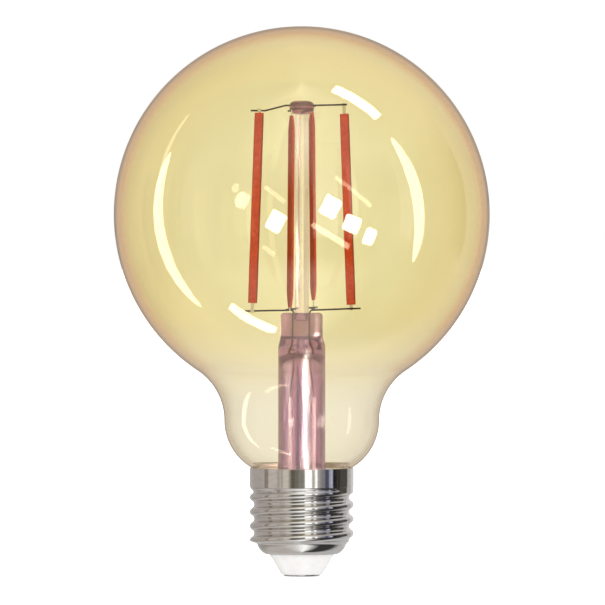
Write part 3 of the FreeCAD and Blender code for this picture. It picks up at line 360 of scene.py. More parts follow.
def make_finishes():
    """Every finish, by the record's slot; only the bead's is not a slot of its own."""
    amber = glass("amber_glass", ((0.97, 0.93, 0.65), (0.985, 0.955, 0.68)), 0.02, 14.0,
                  (0.0, 0.002))
    shade_by(amber, facing_factor(amber, 0.1, 0.5), (0.985, 0.905, 0.575))
    shade_by(amber, facing_factor(amber, 0.60, 0.88), (0.98, 0.56, 0.34))
    shade_by(amber, height_factor(amber, 68, 42), (0.97, 0.95, 0.82))
    soak(amber, (0.62, 0.22, 0.12), 75.0)
    sheen = map_range(amber.node_tree, height_factor(amber, 54, 62), 0.0, 1.0, 0.06, 1.0)
    shader = amber.node_tree.nodes["Principled BSDF"]
    amber.node_tree.links.new(sheen, shader.inputs["Specular Tint"])
    stem = finish("stem_glass", ((0.53, 0.40, 0.47), (0.84, 0.72, 0.79)), 0.7,
                  (0.04, 0.07), 0.02, 5.0, (1, 1, 0.02), Transmission_Weight=0.85, IOR=1.5)
    shade_by(stem, height_factor(stem, 57.5, 61.5), (0.56, 0.38, 0.46))
    soak(stem, (0.38, 0.0, 0.4), 86.0)
    phosphor = finish("phosphor", ((0.60, 0.050, 0.008), (0.78, 0.090, 0.015)), 0.9,
                      (0.5, 0.75), 0.05, 0.25, Specular_IOR_Level=0.3,
                      Subsurface_Weight=0.1, Subsurface_Scale=0.4 * MM,
                      Subsurface_Radius=(1.0, 0.35, 0.15))
    # painted shade: the coating is darker towards its narrow sides, by the mesh's edge value
    shade_by(phosphor, mesh_factor(phosphor, "edge"), (0.36, 0.045, 0.008))
    return {
        "amber_glass": amber,
        "stem_glass": stem,
        "rod_glass": finish("rod_glass", ((0.66, 0.54, 0.64), (1.0, 0.98, 1.0)), 0.55, (0.03, 0.05),
                            0.01, 4.0, (1, 1, 0.01), Transmission_Weight=0.92, IOR=1.5),
        "bead_glass": glass("bead_glass", ((0.46, 0.13, 0.20), (0.62, 0.26, 0.33)), 0.02, 2.0,
                            (0.04, 0.08), 0.7),
        "frame_wire": finish("frame_wire", ((0.06, 0.035, 0.025), (0.17, 0.105, 0.075)), 0.6,
                             (0.35, 0.6), 0.01, Metallic=1.0),
        "lead_wire": finish("lead_wire", ((0.16, 0.08, 0.05), (0.32, 0.17, 0.11)), 0.8,
                            (0.3, 0.5), 0.01, Metallic=1.0),
        "phosphor": phosphor,
        "filament_strip": finish("filament_strip", ((0.75, 0.73, 0.68), (0.86, 0.85, 0.80)), 0.4,
                                 (0.4, 0.6), 0.01),
        "led_chip": finish("led_chip", ((0.04, 0.09, 0.30), (0.10, 0.20, 0.50)), 0.1,
                           (0.1, 0.25), 0.002),
        "filament_tab": finish("filament_tab", ((0.88, 0.85, 0.78), (0.97, 0.94, 0.88)), 0.5,
                               (0.3, 0.5), 0.008, Metallic=0.3),
        "nickel_shell": finish("nickel_shell", ((0.66, 0.64, 0.62), (0.74, 0.72, 0.70)), 3.0,
                               (0.07, 0.13), 0.006, 1.2, (1, 1, 3), Metallic=1.0),
        "white_insulator": finish("white_insulator", ((0.68, 0.67, 0.66), (0.74, 0.73, 0.72)), 2.5,
                                  (0.28, 0.4), 0.01, 0.5, Coat_Weight=0.2, Coat_Roughness=0.2,
                                  Subsurface_Weight=0.2, Subsurface_Scale=1.0 * MM),
        "contact_metal": finish("contact_metal", ((0.50, 0.49, 0.48), (0.66, 0.65, 0.63)), 1.0,
                                (0.2, 0.35), 0.02, 0.4, Metallic=1.0),
        "cement": finish("cement", ((0.86, 0.85, 0.82), (0.95, 0.94, 0.91)), 0.7,
                         (0.8, 0.95), 0.12, 0.4),
        "cup_plastic": finish("cup_plastic", ((0.70, 0.68, 0.64), (0.80, 0.78, 0.74)), 2.0,
                              (0.4, 0.55), 0.02, 0.3),
        "sleeve_fibre": finish("sleeve_fibre", ((0.55, 0.50, 0.40), (0.85, 0.82, 0.72)), 0.25,
                               (0.7, 0.9), 0.05, stretch=(1, 1, 0.4)),
        "circuit_board": finish("circuit_board", ((0.01, 0.10, 0.04), (0.03, 0.20, 0.08)), 1.5,
                                (0.25, 0.4), 0.02, 0.2, Coat_Weight=0.4),
        "radio_circuit_board": finish("radio_circuit_board",
                                      ((0.01, 0.03, 0.12), (0.02, 0.07, 0.24)), 1.5,
                                      (0.25, 0.4), 0.02, 0.2, Coat_Weight=0.4),
        "capacitor_sleeve": finish("capacitor_sleeve", ((0.02, 0.02, 0.03), (0.06, 0.06, 0.08)),
                                   2.0, (0.3, 0.45), 0.02, 0.6),
        "ferrite": finish("ferrite", ((0.03, 0.03, 0.032), (0.08, 0.08, 0.085)), 0.3,
                          (0.55, 0.75), 0.04),
        "copper_winding": finish("copper_winding", ((0.45, 0.13, 0.05), (0.78, 0.32, 0.14)), 0.5,
                                 (0.25, 0.4), 0.06, 0.25, (0.1, 0.1, 1), Metallic=1.0),
        "chip_package": finish("chip_package", ((0.015, 0.015, 0.016), (0.04, 0.04, 0.042)), 0.3,
                               (0.5, 0.7), 0.02, 0.08),
        "component_metal": finish("component_metal", ((0.58, 0.57, 0.55), (0.74, 0.73, 0.71)), 0.5,
                                  (0.2, 0.35), 0.01, Metallic=1.0),
        "solder": finish("solder", ((0.50, 0.50, 0.51), (0.68, 0.68, 0.69)), 0.4,
                         (0.2, 0.4), 0.03, Metallic=1.0),
        "ceramic_body": finish("ceramic_body", ((0.28, 0.18, 0.10), (0.42, 0.28, 0.17)), 0.3,
                               (0.35, 0.5), 0.02),
        "fuse_lacquer": finish("fuse_lacquer", ((0.02, 0.16, 0.16), (0.06, 0.30, 0.29)), 0.8,
                               (0.2, 0.35), 0.03, Coat_Weight=0.5),
        "crystal_can": finish("crystal_can", ((0.62, 0.61, 0.59), (0.75, 0.74, 0.72)), 0.8,
                              (0.15, 0.3), 0.01, stretch=(1, 8, 1), Metallic=1.0),
        "wire_insulation": finish("wire_insulation", ((0.05, 0.05, 0.05), (0.10, 0.10, 0.10)), 1.0,
                                  (0.35, 0.5), 0.01),
    }


# ---------------------------------------------------------------- the bulb's own pieces

def globe_outline(inset, steps):
    """The globe's outer face from the pole to the neck's foot, moved inwards by inset."""
    reach = GLOBE_RADIUS + WAIST_ARC
    flare = GLOBE_CENTRE - math.sqrt(reach ** 2 - WAIST_CENTRE ** 2)
    throat_centre = WAIST_CENTRE - WAIST_ARC - THROAT_ARC
    root_centre = NECK_RADIUS + ROOT_ARC
    root_z = flare - math.sqrt((THROAT_ARC + ROOT_ARC) ** 2 - (root_centre - throat_centre) ** 2)
    shoulder = -math.degrees(math.acos(WAIST_CENTRE / reach))
    hollow = -math.degrees(math.acos((root_centre - throat_centre) / (THROAT_ARC + ROOT_ARC)))
    outline = [(0, GLOBE_CENTRE + GLOBE_RADIUS - inset)]
    outline += arc((0, GLOBE_CENTRE), GLOBE_RADIUS - inset, 90, shoulder, steps)[1:]
    outline += arc((WAIST_CENTRE, flare), WAIST_ARC + inset, 180 + shoulder, 180, steps // 6)[1:]
    outline += arc((throat_centre, flare), THROAT_ARC - inset, 0, hollow, steps // 6)[1:]
    outline += arc((root_centre, root_z), ROOT_ARC + inset, 180 + hollow, 180, steps // 12)[1:]
    return outline + [(NECK_RADIUS - inset, NECK_FOOT)]


def make_globe(finishes):
    """The blown amber globe, a closed glass wall."""
    outline = globe_outline(0, 120) + globe_outline(GLASS_WALL, 120)[::-1]
    piece = skin("glass_globe_amber", [turned(outline, 256)])
    fit(piece, finishes["amber_glass"], "amber_glass", "glass_globe", sharp=40)


def thread_radius(angle, z):
    """Outer radius of the screw shell: a round right-hand thread that fades out at both ends."""
    from_crest = (z - PITCH * angle / TURN) % PITCH
    from_crest = min(from_crest, PITCH - from_crest)
    if from_crest < PITCH / 4:
        radius = SHELL_RADIUS - THREAD_ARC + math.sqrt(THREAD_ARC ** 2 - from_crest ** 2)
    else:
        from_root = PITCH / 2 - from_crest
        radius = SHELL_RADIUS - THREAD_DEPTH + THREAD_ARC
        radius -= math.sqrt(THREAD_ARC ** 2 - from_root ** 2)
    top = smooth_step(THREAD_TOP, BAND_FOOT, z)
    foot = 1 - smooth_step(DOME_TOP, THREAD_FOOT, z)
    radius = radius * (1 - top) + (SHELL_RADIUS - THREAD_STEP) * top
    return radius * (1 - foot) + (DOME_RADIUS + THREAD_STEP) * foot


def crimp_depth(angle, z):
    """How far the crimps press the shell in at a place."""
    depth = 0.0
    for side in CRIMP_SIDES:
        away = (math.degrees(angle) + 90 - side + 180) % 360 - 180
        across = math.radians(away) * SHELL_RADIUS / CRIMP_HALF_WIDTH
        along = (z - CRIMP_HEIGHT) / CRIMP_HALF_HEIGHT
        pressed = 1 - smooth_step(CRIMP_FLOOR, 1.0, math.hypot(across, along))
        depth = max(depth, CRIMP_DEPTH * pressed)
    return depth


def make_shell(finishes):
    """The nickel-plated screw shell, with a rolled rim and a rolled thread."""
    edge = SHELL_WALL / 3
    gap = 0.02

    def outer_shape(radius, z, angle):
        inset = SHELL_RADIUS - radius
        if DOME_TOP < z < BAND_FOOT:
            radius = thread_radius(angle, z) - inset
        if inset < SHELL_WALL / 2:
            radius -= crimp_depth(angle, z)
        return radius

    thread_steps = 110
    outline = [(SHELL_RADIUS - SHELL_WALL + edge, RIM), (SHELL_RADIUS - edge, RIM)]
    outline += bow((SHELL_RADIUS - edge, RIM), (SHELL_RADIUS, RIM - edge), edge, -1, 4)[1:]
    outline += run((SHELL_RADIUS, RIM - 2 * edge), (SHELL_RADIUS, BAND_FOOT + edge), 6)
    outline += [(SHELL_RADIUS, BAND_FOOT + gap)]
    outline += run((SHELL_RADIUS, BAND_FOOT - gap), (SHELL_RADIUS, DOME_TOP + gap), thread_steps)
    outline += bow((DOME_RADIUS, DOME_TOP), (DOME_FOOT_RADIUS, LIP), DOME_ARC, -1, 14)
    outline += run((DOME_FOOT_RADIUS - edge, LIP), (LIP_RADIUS, LIP), 3)
    outline += run((LIP_RADIUS, LIP + SHELL_WALL), (DOME_FOOT_RADIUS - edge, LIP + SHELL_WALL), 3)
    outline += bow((DOME_FOOT_RADIUS - SHELL_WALL / 2, LIP + SHELL_WALL),
                   (DOME_RADIUS - SHELL_WALL, DOME_TOP), DOME_ARC - SHELL_WALL, 1, 14)
    inner = SHELL_RADIUS - SHELL_WALL
    outline += run((inner, DOME_TOP + gap), (inner, BAND_FOOT - gap), thread_steps)
    outline += [(inner, BAND_FOOT + gap), (inner, RIM - edge), outline[0]]
    piece = skin("cap_shell_nickel", [turned(outline, 240, outer_shape)])
    fit(piece, finishes["nickel_shell"], "nickel_shell", "cap_shell", sharp=50)


def make_insulator(finishes):
    """The white moulded cone round the centre contact, with its flange and its inner boss."""
    foot = CONTACT_THICKNESS
    inner_floor = foot + CONE_WALL
    flange_foot = LIP + SHELL_WALL
    seat = CONTACT_RADIUS + CONTACT_GAP
    seat_width = 0.2
    outline = [(RIVET_RADIUS, foot)]
    outline += run((CONTACT_RADIUS - seat_width, foot), (seat, foot), 2)
    outline += bow((seat, foot), (CONE_FOOT_RADIUS, CONE_FOOT), CONE_FOOT_ARC, 1, 8)[1:]
    outline += run((CONE_FOOT_RADIUS, CONE_FOOT), (CONE_TOP_RADIUS, CONE_TOP), 8)[1:]
    outline += [
        (CONE_TOP_RADIUS, flange_foot), (FLANGE_RADIUS, flange_foot), (FLANGE_RADIUS, FLANGE_TOP),
        (CONE_TOP_RADIUS, INSULATOR_TOP), (CONE_TOP_RADIUS - CONE_WALL, INSULATOR_TOP),
        (CONE_FOOT_RADIUS - CONE_WALL, inner_floor), (BOSS_RADIUS, inner_floor),
        (BOSS_RADIUS, BOSS_TOP), (RIVET_RADIUS, BOSS_TOP), (RIVET_RADIUS, foot),
    ]
    piece = skin("cap_insulator_white", [turned(outline, 160)])
    fit(piece, finishes["white_insulator"], "white_insulator", "cap_insulator", sharp=35)


def press_half_sizes(z):
    """Half width, half thickness and squareness of the stem's section at a height."""
    share = smooth_step(PINCH_FOOT, PINCH_TOP, z)
    half_width = STEM_RADIUS + (PRESS_WIDTH / 2 - STEM_RADIUS) * share
    half_thickness = STEM_RADIUS + (PRESS_THICKNESS / 2 - STEM_RADIUS) * share
    return half_width, half_thickness, ROUND + (PRESS_SQUARENESS - ROUND) * share


def make_stem(finishes):
    """The glass stem: flared skirt, tube, flat press and the exhaust tube fused into it."""
    rim = NECK_RADIUS - GLASS_WALL
    rim_top = NECK_FOOT + SKIRT_SEAL
    flare = rim - STEM_RADIUS
    drop = SKIRT_TOP - rim_top
    skirt_arc = (flare ** 2 + drop ** 2) / (2 * flare)
    bore = STEM_RADIUS - STEM_WALL
    centre = STEM_RADIUS + skirt_arc
    inner_rim = centre - math.sqrt((skirt_arc + STEM_WALL) ** 2 - (SKIRT_TOP - NECK_FOOT) ** 2)
    tip_centre = EXHAUST_TIP + EXHAUST_RADIUS
    gap = 0.03
    # straight stretches start at one of these distances from the round ones beside them
    apart = 1.0
    close = 0.2
    segments = 128

    def section(z, margin):
        half_width, half_thickness, square = press_half_sizes(z)
        ring = []
        for index in range(segments):
            angle = TURN * index / segments
            across, deep = math.cos(angle), math.sin(angle)
            size = rounded_square(across, deep, square)
            ring.append(spot((half_width - margin) * across * size,
                             (half_thickness - margin) * deep * size, z))
        return ring

    socket = ROD_RADIUS + gap
    socket_floor = socket * 0.6
    socket_edge = 0.3
    socket_bevel = 0.2
    mouth = socket + socket_bevel
    rings = turned([(0, ROD_FOOT - gap), (socket_floor, ROD_FOOT - gap),
                    (socket, ROD_FOOT + socket_edge), (socket, PRESS_TOP - socket_edge),
                    (mouth, PRESS_TOP)], segments)
    for angle in range(90, -1, -15):
        inward = PRESS_EDGE * (1 - math.cos(math.radians(angle)))
        height = PRESS_TOP - PRESS_EDGE * (1 - math.sin(math.radians(angle)))
        rings.append(section(height, inward))
    steps = 40
    straight = PRESS_TOP - PRESS_EDGE
    for step in range(1, steps + 1):
        rings.append(section(straight + (PINCH_FOOT - straight) * step / steps, 0))
    outline = run((STEM_RADIUS, PINCH_FOOT - apart), (STEM_RADIUS, SKIRT_TOP), 12)
    outline += bow((STEM_RADIUS, SKIRT_TOP), (rim - gap, rim_top), skirt_arc, 1, 16)[1:]
    outline += [(rim - gap, NECK_FOOT), (inner_rim, NECK_FOOT)]
    outline += bow((inner_rim, NECK_FOOT), (bore, SKIRT_TOP), skirt_arc + STEM_WALL, -1, 16)[1:]
    outline += run((bore, SKIRT_TOP), (bore, BORE_SHOULDER), 12)[1:]
    outline += bow((bore, BORE_SHOULDER), (EXHAUST_RADIUS, BORE_TOP), BORE_TOP_ARC, 1, 12)[1:]
    outline += run((EXHAUST_RADIUS, BORE_TOP - close), (EXHAUST_RADIUS, tip_centre), 16)
    outline += arc((0, tip_centre), EXHAUST_RADIUS, 0, -90, 10)[1:-1]
    outline += [(0, EXHAUST_TIP)]
    rings += turned(outline, segments)
    tube = [(0, tip_centre - EXHAUST_BORE)]
    tube += arc((0, tip_centre), EXHAUST_BORE, -90, 0, 8)[1:]
    tube += run((EXHAUST_BORE, tip_centre + apart), (EXHAUST_BORE, EXHAUST_TOP), 16)
    tube += arc((0, EXHAUST_TOP), EXHAUST_BORE, 0, 90, 8)[1:-1]
    tube += [(0, EXHAUST_TOP + EXHAUST_BORE)]
    piece = skin("stem_glass_press", [rings], [turned(tube, 48)])
    fit(piece, finishes["stem_glass"], "stem_glass", "stem_flare", "exhaust_tube",
        turn=FRAME_TURN, sharp=50)
    return piece


def make_rod(finishes):
    """The drawn glass rod between the press and the top bead."""
    gap = 0.04
    foot_edge = 0.5
    top_edge = 0.3
    # the straight stretch keeps this far from the rod's ends
    apart = 1.0
    outline = [(0, ROD_FOOT)]
    outline += arc((ROD_RADIUS - foot_edge, ROD_FOOT + foot_edge), foot_edge, -90, 0, 6)
    outline += run((ROD_RADIUS, ROD_FOOT + apart), (ROD_RADIUS, ROD_TOP - apart), 40)
    outline += arc((ROD_RADIUS - top_edge, ROD_TOP - top_edge - gap), top_edge, 0, 90, 6)
    outline += [(0, ROD_TOP - gap)]
    piece = skin("support_rod_glass", [turned(outline, 96)])
    fit(piece, finishes["rod_glass"], "rod_glass", "support_rod", sharp=50)
    return piece


def make_bead(finishes):
    """The glass bead that is melted round the two top wires."""
    middle = (ROD_TOP + BEAD_TOP) / 2
    half_height = (BEAD_TOP - ROD_TOP) / 2
    outline = []
    for radius, height in arc((0, 0), 1.0, -90, 90, 40):
        size = rounded_square(radius, height, BEAD_SQUARENESS)
        outline.append((BEAD_RADIUS * radius * size, middle + half_height * height * size))
    piece = skin("top_bead_glass", [turned(outline, 96)])
    fit(piece, finishes["bead_glass"], "stem_glass", "top_bead", turn=FRAME_TURN)


def make_coating(finishes, name, azimuth, lift):
    """One filament's phosphor coating: a soft-edged bar that thins towards both ends."""
    rows = 72
    around = 40
    half_width = FILAMENT_WIDTH / 2
    painted_shade_start = 0.72
    rings = []
    for row in range(rows + 1):
        z = FILAMENT_LENGTH * row / rows
        from_end = min(z, FILAMENT_LENGTH - z)
        share = math.sin(min(from_end / FILAMENT_TAPER, 1.0) * TURN / 4)
        half_thickness = (FILAMENT_TIP + (FILAMENT_THICKNESS - FILAMENT_TIP) * share) / 2
        ring = []
        for index in range(around):
            angle = TURN * index / around
            across, deep = math.cos(angle), math.sin(angle)
            size = rounded_square(across, deep, COATING_SQUARENESS)
            ring.append(spot(half_width * across * size, half_thickness * deep * size, z))
        rings.append(ring)
    foot_pole = [spot(0, 0, 0)]
    top_pole = [spot(0, 0, FILAMENT_LENGTH)]
    piece = skin(f"filament_{name}_coating", [[foot_pole, *rings, top_pole]])
    # each point's share of the painted shade on the coating's narrow sides, from
    # painted_shade_start across the width on
    edge = piece.data.attributes.new("edge", "FLOAT", "POINT")
    for vertex, value in zip(piece.data.vertices, edge.data):
        value.value = smooth_step(painted_shade_start, 1.0, abs(vertex.co.x) / (half_width * MM))
    beside = WIRE_RADIUS + TAB_THICKNESS / 2
    place = Matrix.Translation(spot(FILAMENT_FOOT_RADIUS, beside, FILAMENT_FOOT + lift))
    place = Matrix.Rotation(math.radians(azimuth + FRAME_TURN), 4, "Z") @ place
    piece.data.transform(place @ Matrix.Rotation(math.radians(-FILAMENT_TILT), 4, "Y"))
    fit(piece, finishes["phosphor"], "phosphor", f"filament_{name}_phosphor", sharp=60)


# ---------------------------------------------------------------- studio

WHITE = (1.0, 1.0, 1.0)
# windows that the globe's clear wall mirrors: azimuth, elevation, width, height, roll clockwise,
# brightness and squareness
WINDOWS = (
    (17.8, 4.9, 10.7, 12.3, 29.2, 80.0, 12),
    (31.4, -5.5, 10.2, 9.5, 19.2, 80.0, 12),
    (43.4, -12.4, 7.1, 9.3, 17.1, 80.0, 6),
    (33.1, 14.0, 27.5, 2.6, 41.4, 8.0, 12),
    (18.2, -12.7, 27.6, 3.6, 30.1, 12.0, 12),
    (79.7, 63.5, 7.1, 24.6, 2.9, 30.0, 12),
    (77.3, 8.4, 8.7, 62.4, -4.3, 17.0, 2),
    (-99.3, -9.0, 9.2, 67.7, -6, 15.0, 2),
    (-106.5, 23.6, 3.1, 33.7, -17.2, 4.0, 2),
    (-61.9, -61.8, 6.6, 25.2, -19.5, 24.0, 6),
    (-15.9, -4.0, 9.7, 12.3, 29.9, 50.0, 12),
    (-37.6, 8.5, 8.7, 9.7, 23.6, 12.0, 3),
    (-43.0, 15.6, 5.1, 5.1, 19.4, 6.0, 2),
    (-16.8, 12.5, 16.3, 2.6, 36.8, 6.0, 12),
    (-21.4, -21.8, 9.2, 3.1, 43, 6.0, 12),
)
# the studio's walls, as colours from an azimuth on: level with the bulb, above it and below it
HORIZON = (
    (-180, (0.50, 0.48, 0.46)), (-140, (0.49, 0.45, 0.42)), (-100, (0.53, 0.48, 0.43)),
    (-92, (0.31, 0.27, 0.23)), (-81, (0.64, 0.58, 0.53)), (-57, (0.47, 0.43, 0.38)),
    (-52, (0.59, 0.54, 0.48)), (-47, (0.47, 0.44, 0.38)), (-42.5, (0.73, 0.69, 0.60)),
    (-30, (0.45, 0.41, 0.35)), (-26.5, (0.24, 0.22, 0.17)), (-24, (0.14, 0.13, 0.10)),
    (-16.5, (0.20, 0.19, 0.155)), (-8, (0.28, 0.27, 0.235)), (6.5, (1.65, 1.66, 1.58)),
    (22.5, (0.53, 0.52, 0.49)), (29, (1.58, 1.56, 1.49)), (35, (0.45, 0.44, 0.42)),
    (40, (0.34, 0.33, 0.325)), (45, (0.26, 0.26, 0.275)), (53, (0.09, 0.095, 0.15)),
    (62.5, (0.45, 0.47, 0.60)), (68, (0.62, 0.62, 0.76)), (73, (0.006, 0.006, 0.01)),
    (80, (0.03, 0.028, 0.025)), (85, (0.075, 0.07, 0.06)), (88, (0.035, 0.03, 0.026)),
    (94, (0.085, 0.08, 0.07)), (121, (0.55, 0.54, 0.53)), (140, (0.75, 0.74, 0.74)),
)
CEILING = (
    (-180, (0.75, 0.75, 0.75)), (-138, (0.45, 0.42, 0.39)), (-60, (0.50, 0.47, 0.44)),
    (-25, (0.85, 0.84, 0.82)), (0, (1.3, 1.3, 1.3)), (50, (0.55, 0.55, 0.62)),
    (76, (0.35, 0.35, 0.34)), (120, (0.70, 0.70, 0.70)),
)
SKIRTING = (
    (-180, (0.60, 0.60, 0.60)), (-138, (0.40, 0.37, 0.35)), (-30, (0.40, 0.38, 0.35)),
    (-22, (0.07, 0.07, 0.06)), (4, (0.16, 0.16, 0.16)), (38, (0.05, 0.05, 0.06)),
    (100, (0.05, 0.05, 0.05)), (124, (0.60, 0.60, 0.60)),
)
GROUND = (
    (-180, (0.70, 0.70, 0.70)), (-130, (0.60, 0.56, 0.53)), (-60, (0.62, 0.58, 0.55)),
    (-20, (0.90, 0.89, 0.87)), (12, (1.45, 1.45, 1.45)), (34, (0.60, 0.60, 0.60)),
    (52, (0.05, 0.05, 0.05)), (100, (0.05, 0.05, 0.05)), (124, (0.60, 0.60, 0.60)),
)
# the height of the mirrored direction, as a share of 1, where each wall starts and is complete
CEILING_RISE = (0.25, 0.6)
SKIRTING_RISE = (-0.18, -0.26)
GROUND_RISE = (-0.42, -0.6)
# what the glass mirrors at its very edge: the wall behind it and that wall's middle, and how far
# back the mirrored direction points, as a share of 1, where each starts and is complete
FAR_WALL = (0.68, 0.62, 0.52)
FAR_MIDDLE = (0.46, 0.40, 0.33)
FAR_WALL_START = (0.70, 0.84)
FAR_MIDDLE_START = (0.925, 0.96)
# the soft light on matt surfaces: the side it comes from, and its weakest and strongest
SOFTBOX_SIDE = (0.35, -0.55, 0.75)
SOFT_LIGHT = (0.8, 1.7)
# lights that each draw one streak: piece, azimuth, width, brightness and height of the middle
GLINTS = (
    ("stem", 22, 30, 24.0, 41),
    ("stem", -72, 30, 2.2, 41),
    ("stem", 122, 30, 1.4, 41),
    ("rod", 24, 24, 15.0, 91),
    ("rod", -62, 39, 17.0, 91),
)
GLINT_LENGTH = 300
GLINT_DISTANCE = 500


def maths(tree, operation, first, second=None):
    """Add a Math node; each input is a number or a socket."""
    node = tree.nodes.new("ShaderNodeMath")
    node.operation = operation
    for socket, value in zip(node.inputs, (first, second)):
        if isinstance(value, (int, float)):
            socket.default_value = value
        elif value is not None:
            tree.links.new(value, socket)
    return node.outputs["Value"]


def dot(tree, direction, axis):
    """Add a dot product of the view's direction and a fixed axis."""
    node = tree.nodes.new("ShaderNodeVectorMath")
    node.operation = "DOT_PRODUCT"
    tree.links.new(direction, node.inputs[0])
    node.inputs[1].default_value = axis
    return node.outputs["Value"]


def mix(tree, factor, low, high):
    """Add a colour mix; low and high are colours or sockets."""
    node = tree.nodes.new("ShaderNodeMix")
    node.data_type = "RGBA"
    tree.links.new(factor, node.inputs["Factor"])
    for socket, value in ((node.inputs[6], low), (node.inputs[7], high)):
        if isinstance(value, tuple):
            socket.default_value = (*value, 1.0)
        else:
            tree.links.new(value, socket)
    return node.outputs[2]


def banded(tree, share, stops, interpolation):
    """Colours round the horizon from their azimuths on, in flat bands or blended."""
    ramp = tree.nodes.new("ShaderNodeValToRGB")
    ramp.color_ramp.interpolation = interpolation
    elements = ramp.color_ramp.elements
    elements.remove(elements[1])
    elements[0].position = 0.0
    elements[0].color = (*stops[0][1], 1.0)
    for azimuth, colour in stops[1:]:
        elements.new(azimuth / 360 + 0.5).color = (*colour, 1.0)
    tree.links.new(share, ramp.inputs["Fac"])
    return ramp.outputs["Color"]


def window_light(tree, direction, windows):
    """The light of far-off panes, added up: ovals at squareness 2, rectangles at high values."""
    glow = None
    for azimuth, elevation, width, height, roll, brightness, squareness in windows:
        turn = Matrix.Rotation(math.radians(azimuth), 3, "Z")
        turn = turn @ Matrix.Rotation(math.radians(-elevation), 3, "X")
        turn = turn @ Matrix.Rotation(math.radians(roll), 3, "Y")
        across, up, ahead = (dot(tree, direction, turn @ Vector(axis))
                             for axis in ((1, 0, 0), (0, 0, 1), (0, -1, 0)))
        outward = []
        for along, size in ((across, width), (up, height)):
            share = maths(tree, "ABSOLUTE", maths(tree, "DIVIDE", along, ahead))
            share = maths(tree, "DIVIDE", share, math.tan(math.radians(size / 2)))
            outward.append(maths(tree, "POWER", share, squareness))
        inside = maths(tree, "LESS_THAN", maths(tree, "ADD", *outward), 1.0)
        light = maths(tree, "MULTIPLY", maths(tree, "GREATER_THAN", ahead, 0.0), inside)
        light = maths(tree, "MULTIPLY", light, brightness)
        glow = light if glow is None else maths(tree, "ADD", glow, light)
    return glow


def make_world():
    """White for the eye, soft light for matt surfaces, and a studio with windows for mirrors."""
    world = bpy.data.worlds.new("studio")
    bpy.context.scene.world = world
    world.use_nodes = True
    tree = world.node_tree
    tree.nodes.clear()
    direction = tree.nodes.new("ShaderNodeTexCoord").outputs["Generated"]
    parts = tree.nodes.new("ShaderNodeSeparateXYZ")
    tree.links.new(direction, parts.inputs["Vector"])
    rise = parts.outputs["Z"]
    ahead = maths(tree, "MULTIPLY", parts.outputs["Y"], -1.0)
    azimuth = maths(tree, "ARCTAN2", parts.outputs["X"], ahead)
    share = maths(tree, "ADD", maths(tree, "DIVIDE", azimuth, TURN), 0.5)
    studio = banded(tree, share, HORIZON, "CONSTANT")
    ceiling = banded(tree, share, CEILING, "LINEAR")
    skirting = banded(tree, share, SKIRTING, "LINEAR")
    ground = banded(tree, share, GROUND, "LINEAR")
    studio = mix(tree, map_range(tree, rise, *CEILING_RISE), studio, ceiling)
    studio = mix(tree, map_range(tree, rise, *SKIRTING_RISE), studio, skirting)
    studio = mix(tree, map_range(tree, rise, *GROUND_RISE), studio, ground)
    path = tree.nodes.new("ShaderNodeLightPath")
    middle = map_range(tree, parts.outputs["Y"], *FAR_MIDDLE_START)
    wall = mix(tree, middle, FAR_WALL, FAR_MIDDLE)
    edge_on = map_range(tree, parts.outputs["Y"], *FAR_WALL_START)
    edge_on = maths(tree, "MULTIPLY", edge_on, path.outputs["Is Singular Ray"])
    studio = mix(tree, edge_on, studio, wall)

    # the windows show only where light passed two faces of glass and was mirrored once
    through_one_wall = add_node(tree.nodes, "ShaderNodeMath", operation="COMPARE")
    tree.links.new(path.outputs["Transmission Depth"], through_one_wall.inputs[0])
    through_one_wall.inputs[1].default_value = 2
    through_one_wall.inputs[2].default_value = 0.5
    mirrored_once = maths(tree, "LESS_THAN", path.outputs["Glossy Depth"], 1.5)
    glow = maths(tree, "MULTIPLY", window_light(tree, direction, WINDOWS), mirrored_once)
    glow = maths(tree, "MULTIPLY", glow, through_one_wall.outputs["Value"])
    lit = add_node(tree.nodes, "ShaderNodeVectorMath", operation="ADD")
    tree.links.new(studio, lit.inputs[0])
    tree.links.new(glow, lit.inputs[1])

    softbox = dot(tree, direction, Vector(SOFTBOX_SIDE).normalized())
    soft = map_range(tree, softbox, -1.0, 1.0, *SOFT_LIGHT)
    mirrored = maths(tree, "GREATER_THAN", path.outputs["Glossy Depth"], 0.5)
    scattered = maths(tree, "GREATER_THAN", path.outputs["Diffuse Depth"], 0.5)
    seen = mix(tree, mirrored, WHITE, lit.outputs["Vector"])
    seen = mix(tree, scattered, seen, soft)
    background = tree.nodes.new("ShaderNodeBackground")
    tree.links.new(seen, background.inputs["Color"])
    output = tree.nodes.new("ShaderNodeOutputWorld")
    tree.links.new(background.outputs["Background"], output.inputs["Surface"])


def make_glint(index, mirror, azimuth, width, brightness, middle):
    """A light that only draws a bright streak on one piece of the glass."""
    light = bpy.data.lights.new(f"glint_{index}", "AREA")
    light.shape = "RECTANGLE"
    light.size = 2 * GLINT_DISTANCE * MM * math.tan(math.radians(width / 2))
    light.size_y = GLINT_LENGTH * MM
    light.energy = brightness * math.pi * light.size * light.size_y
    light.use_shadow = False
    light.cycles.use_multiple_importance_sampling = False
    lamp = bpy.data.objects.new(light.name, light)
    bpy.context.scene.collection.objects.link(lamp)
    turn = math.radians(azimuth)
    lamp.location = spot(GLINT_DISTANCE * math.sin(turn), -GLINT_DISTANCE * math.cos(turn), middle)
    lamp.rotation_euler = (math.radians(90), 0, turn)
    lamp.visible_camera = False
    lamp.visible_diffuse = False
    receivers = bpy.data.collections.new(f"glint_{index}_mirror")
    receivers.objects.link(mirror)
    lamp.light_linking.receiver_collection = receivers


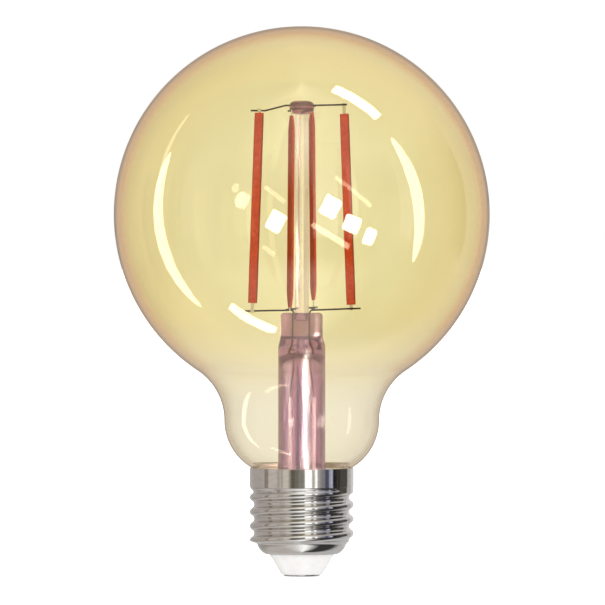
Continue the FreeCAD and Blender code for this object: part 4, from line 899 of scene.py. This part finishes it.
def make_floor():
    """A plain pale floor, level with the flat end of the contact; its reach is in metres."""
    reach = 6.0
    corners = [(-reach, -reach, 0), (reach, -reach, 0), (reach, reach, 0), (-reach, reach, 0)]
    data = bpy.data.meshes.new("floor")
    data.from_pydata(corners, [], [(0, 1, 2, 3)])
    floor = bpy.data.objects.new("floor", data)
    bpy.context.scene.collection.objects.link(floor)
    material = finish("floor_paint", ((0.86, 0.86, 0.86), (0.90, 0.90, 0.90)), 60.0,
                      (0.8, 0.9), 0.02, Emission_Color=(1.0, 1.0, 1.0, 1.0),
                      Emission_Strength=0.45, Specular_IOR_Level=0.0)
    data.materials.append(material)
    floor.visible_glossy = False
    floor.visible_transmission = False


def make_camera():
    """A long lens almost level with the bulb."""
    camera = bpy.data.cameras.new("camera")
    camera.sensor_width = 36.0
    aim = spot(0.19, 0, 69.2)
    distance = 3000.0
    elevation = math.radians(0.9)
    seen_width = 152.9
    camera.lens = camera.sensor_width * distance / seen_width
    camera.clip_start = 10 * MM
    camera.clip_end = 50000 * MM
    eye = bpy.data.objects.new("camera", camera)
    bpy.context.scene.collection.objects.link(eye)
    eye.location = aim + spot(0, -distance * math.cos(elevation), distance * math.sin(elevation))
    eye.rotation_euler = (aim - eye.location).to_track_quat("-Z", "Y").to_euler()
    bpy.context.scene.camera = eye


# ---------------------------------------------------------------- making it all

finishes = make_finishes()
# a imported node's own material has the name of its slot in the record
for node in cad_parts.values():
    slot = node.data.materials[0].name.split(".")[0]
    node.data.materials[0] = finishes[slot]
make_globe(finishes)
make_shell(finishes)
make_insulator(finishes)
stem = make_stem(finishes)
rod = make_rod(finishes)
make_bead(finishes)
for name, (azimuth, lift) in FILAMENTS.items():
    make_coating(finishes, name, azimuth, lift)

make_world()
mirrors = {"stem": stem, "rod": rod}
for index, (piece, *light) in enumerate(GLINTS):
    make_glint(index, mirrors[piece], *light)
make_floor()
make_camera()
scene = bpy.context.scene
scene.view_settings.view_transform = "Standard"
scene.cycles.sample_clamp_indirect = 0.0
scene.cycles.max_bounces = 32
scene.cycles.transmission_bounces = 32
scene.cycles.glossy_bounces = 12
scene.cycles.diffuse_bounces = 4
scene.cycles.caustics_reflective = True
scene.cycles.caustics_refractive = True
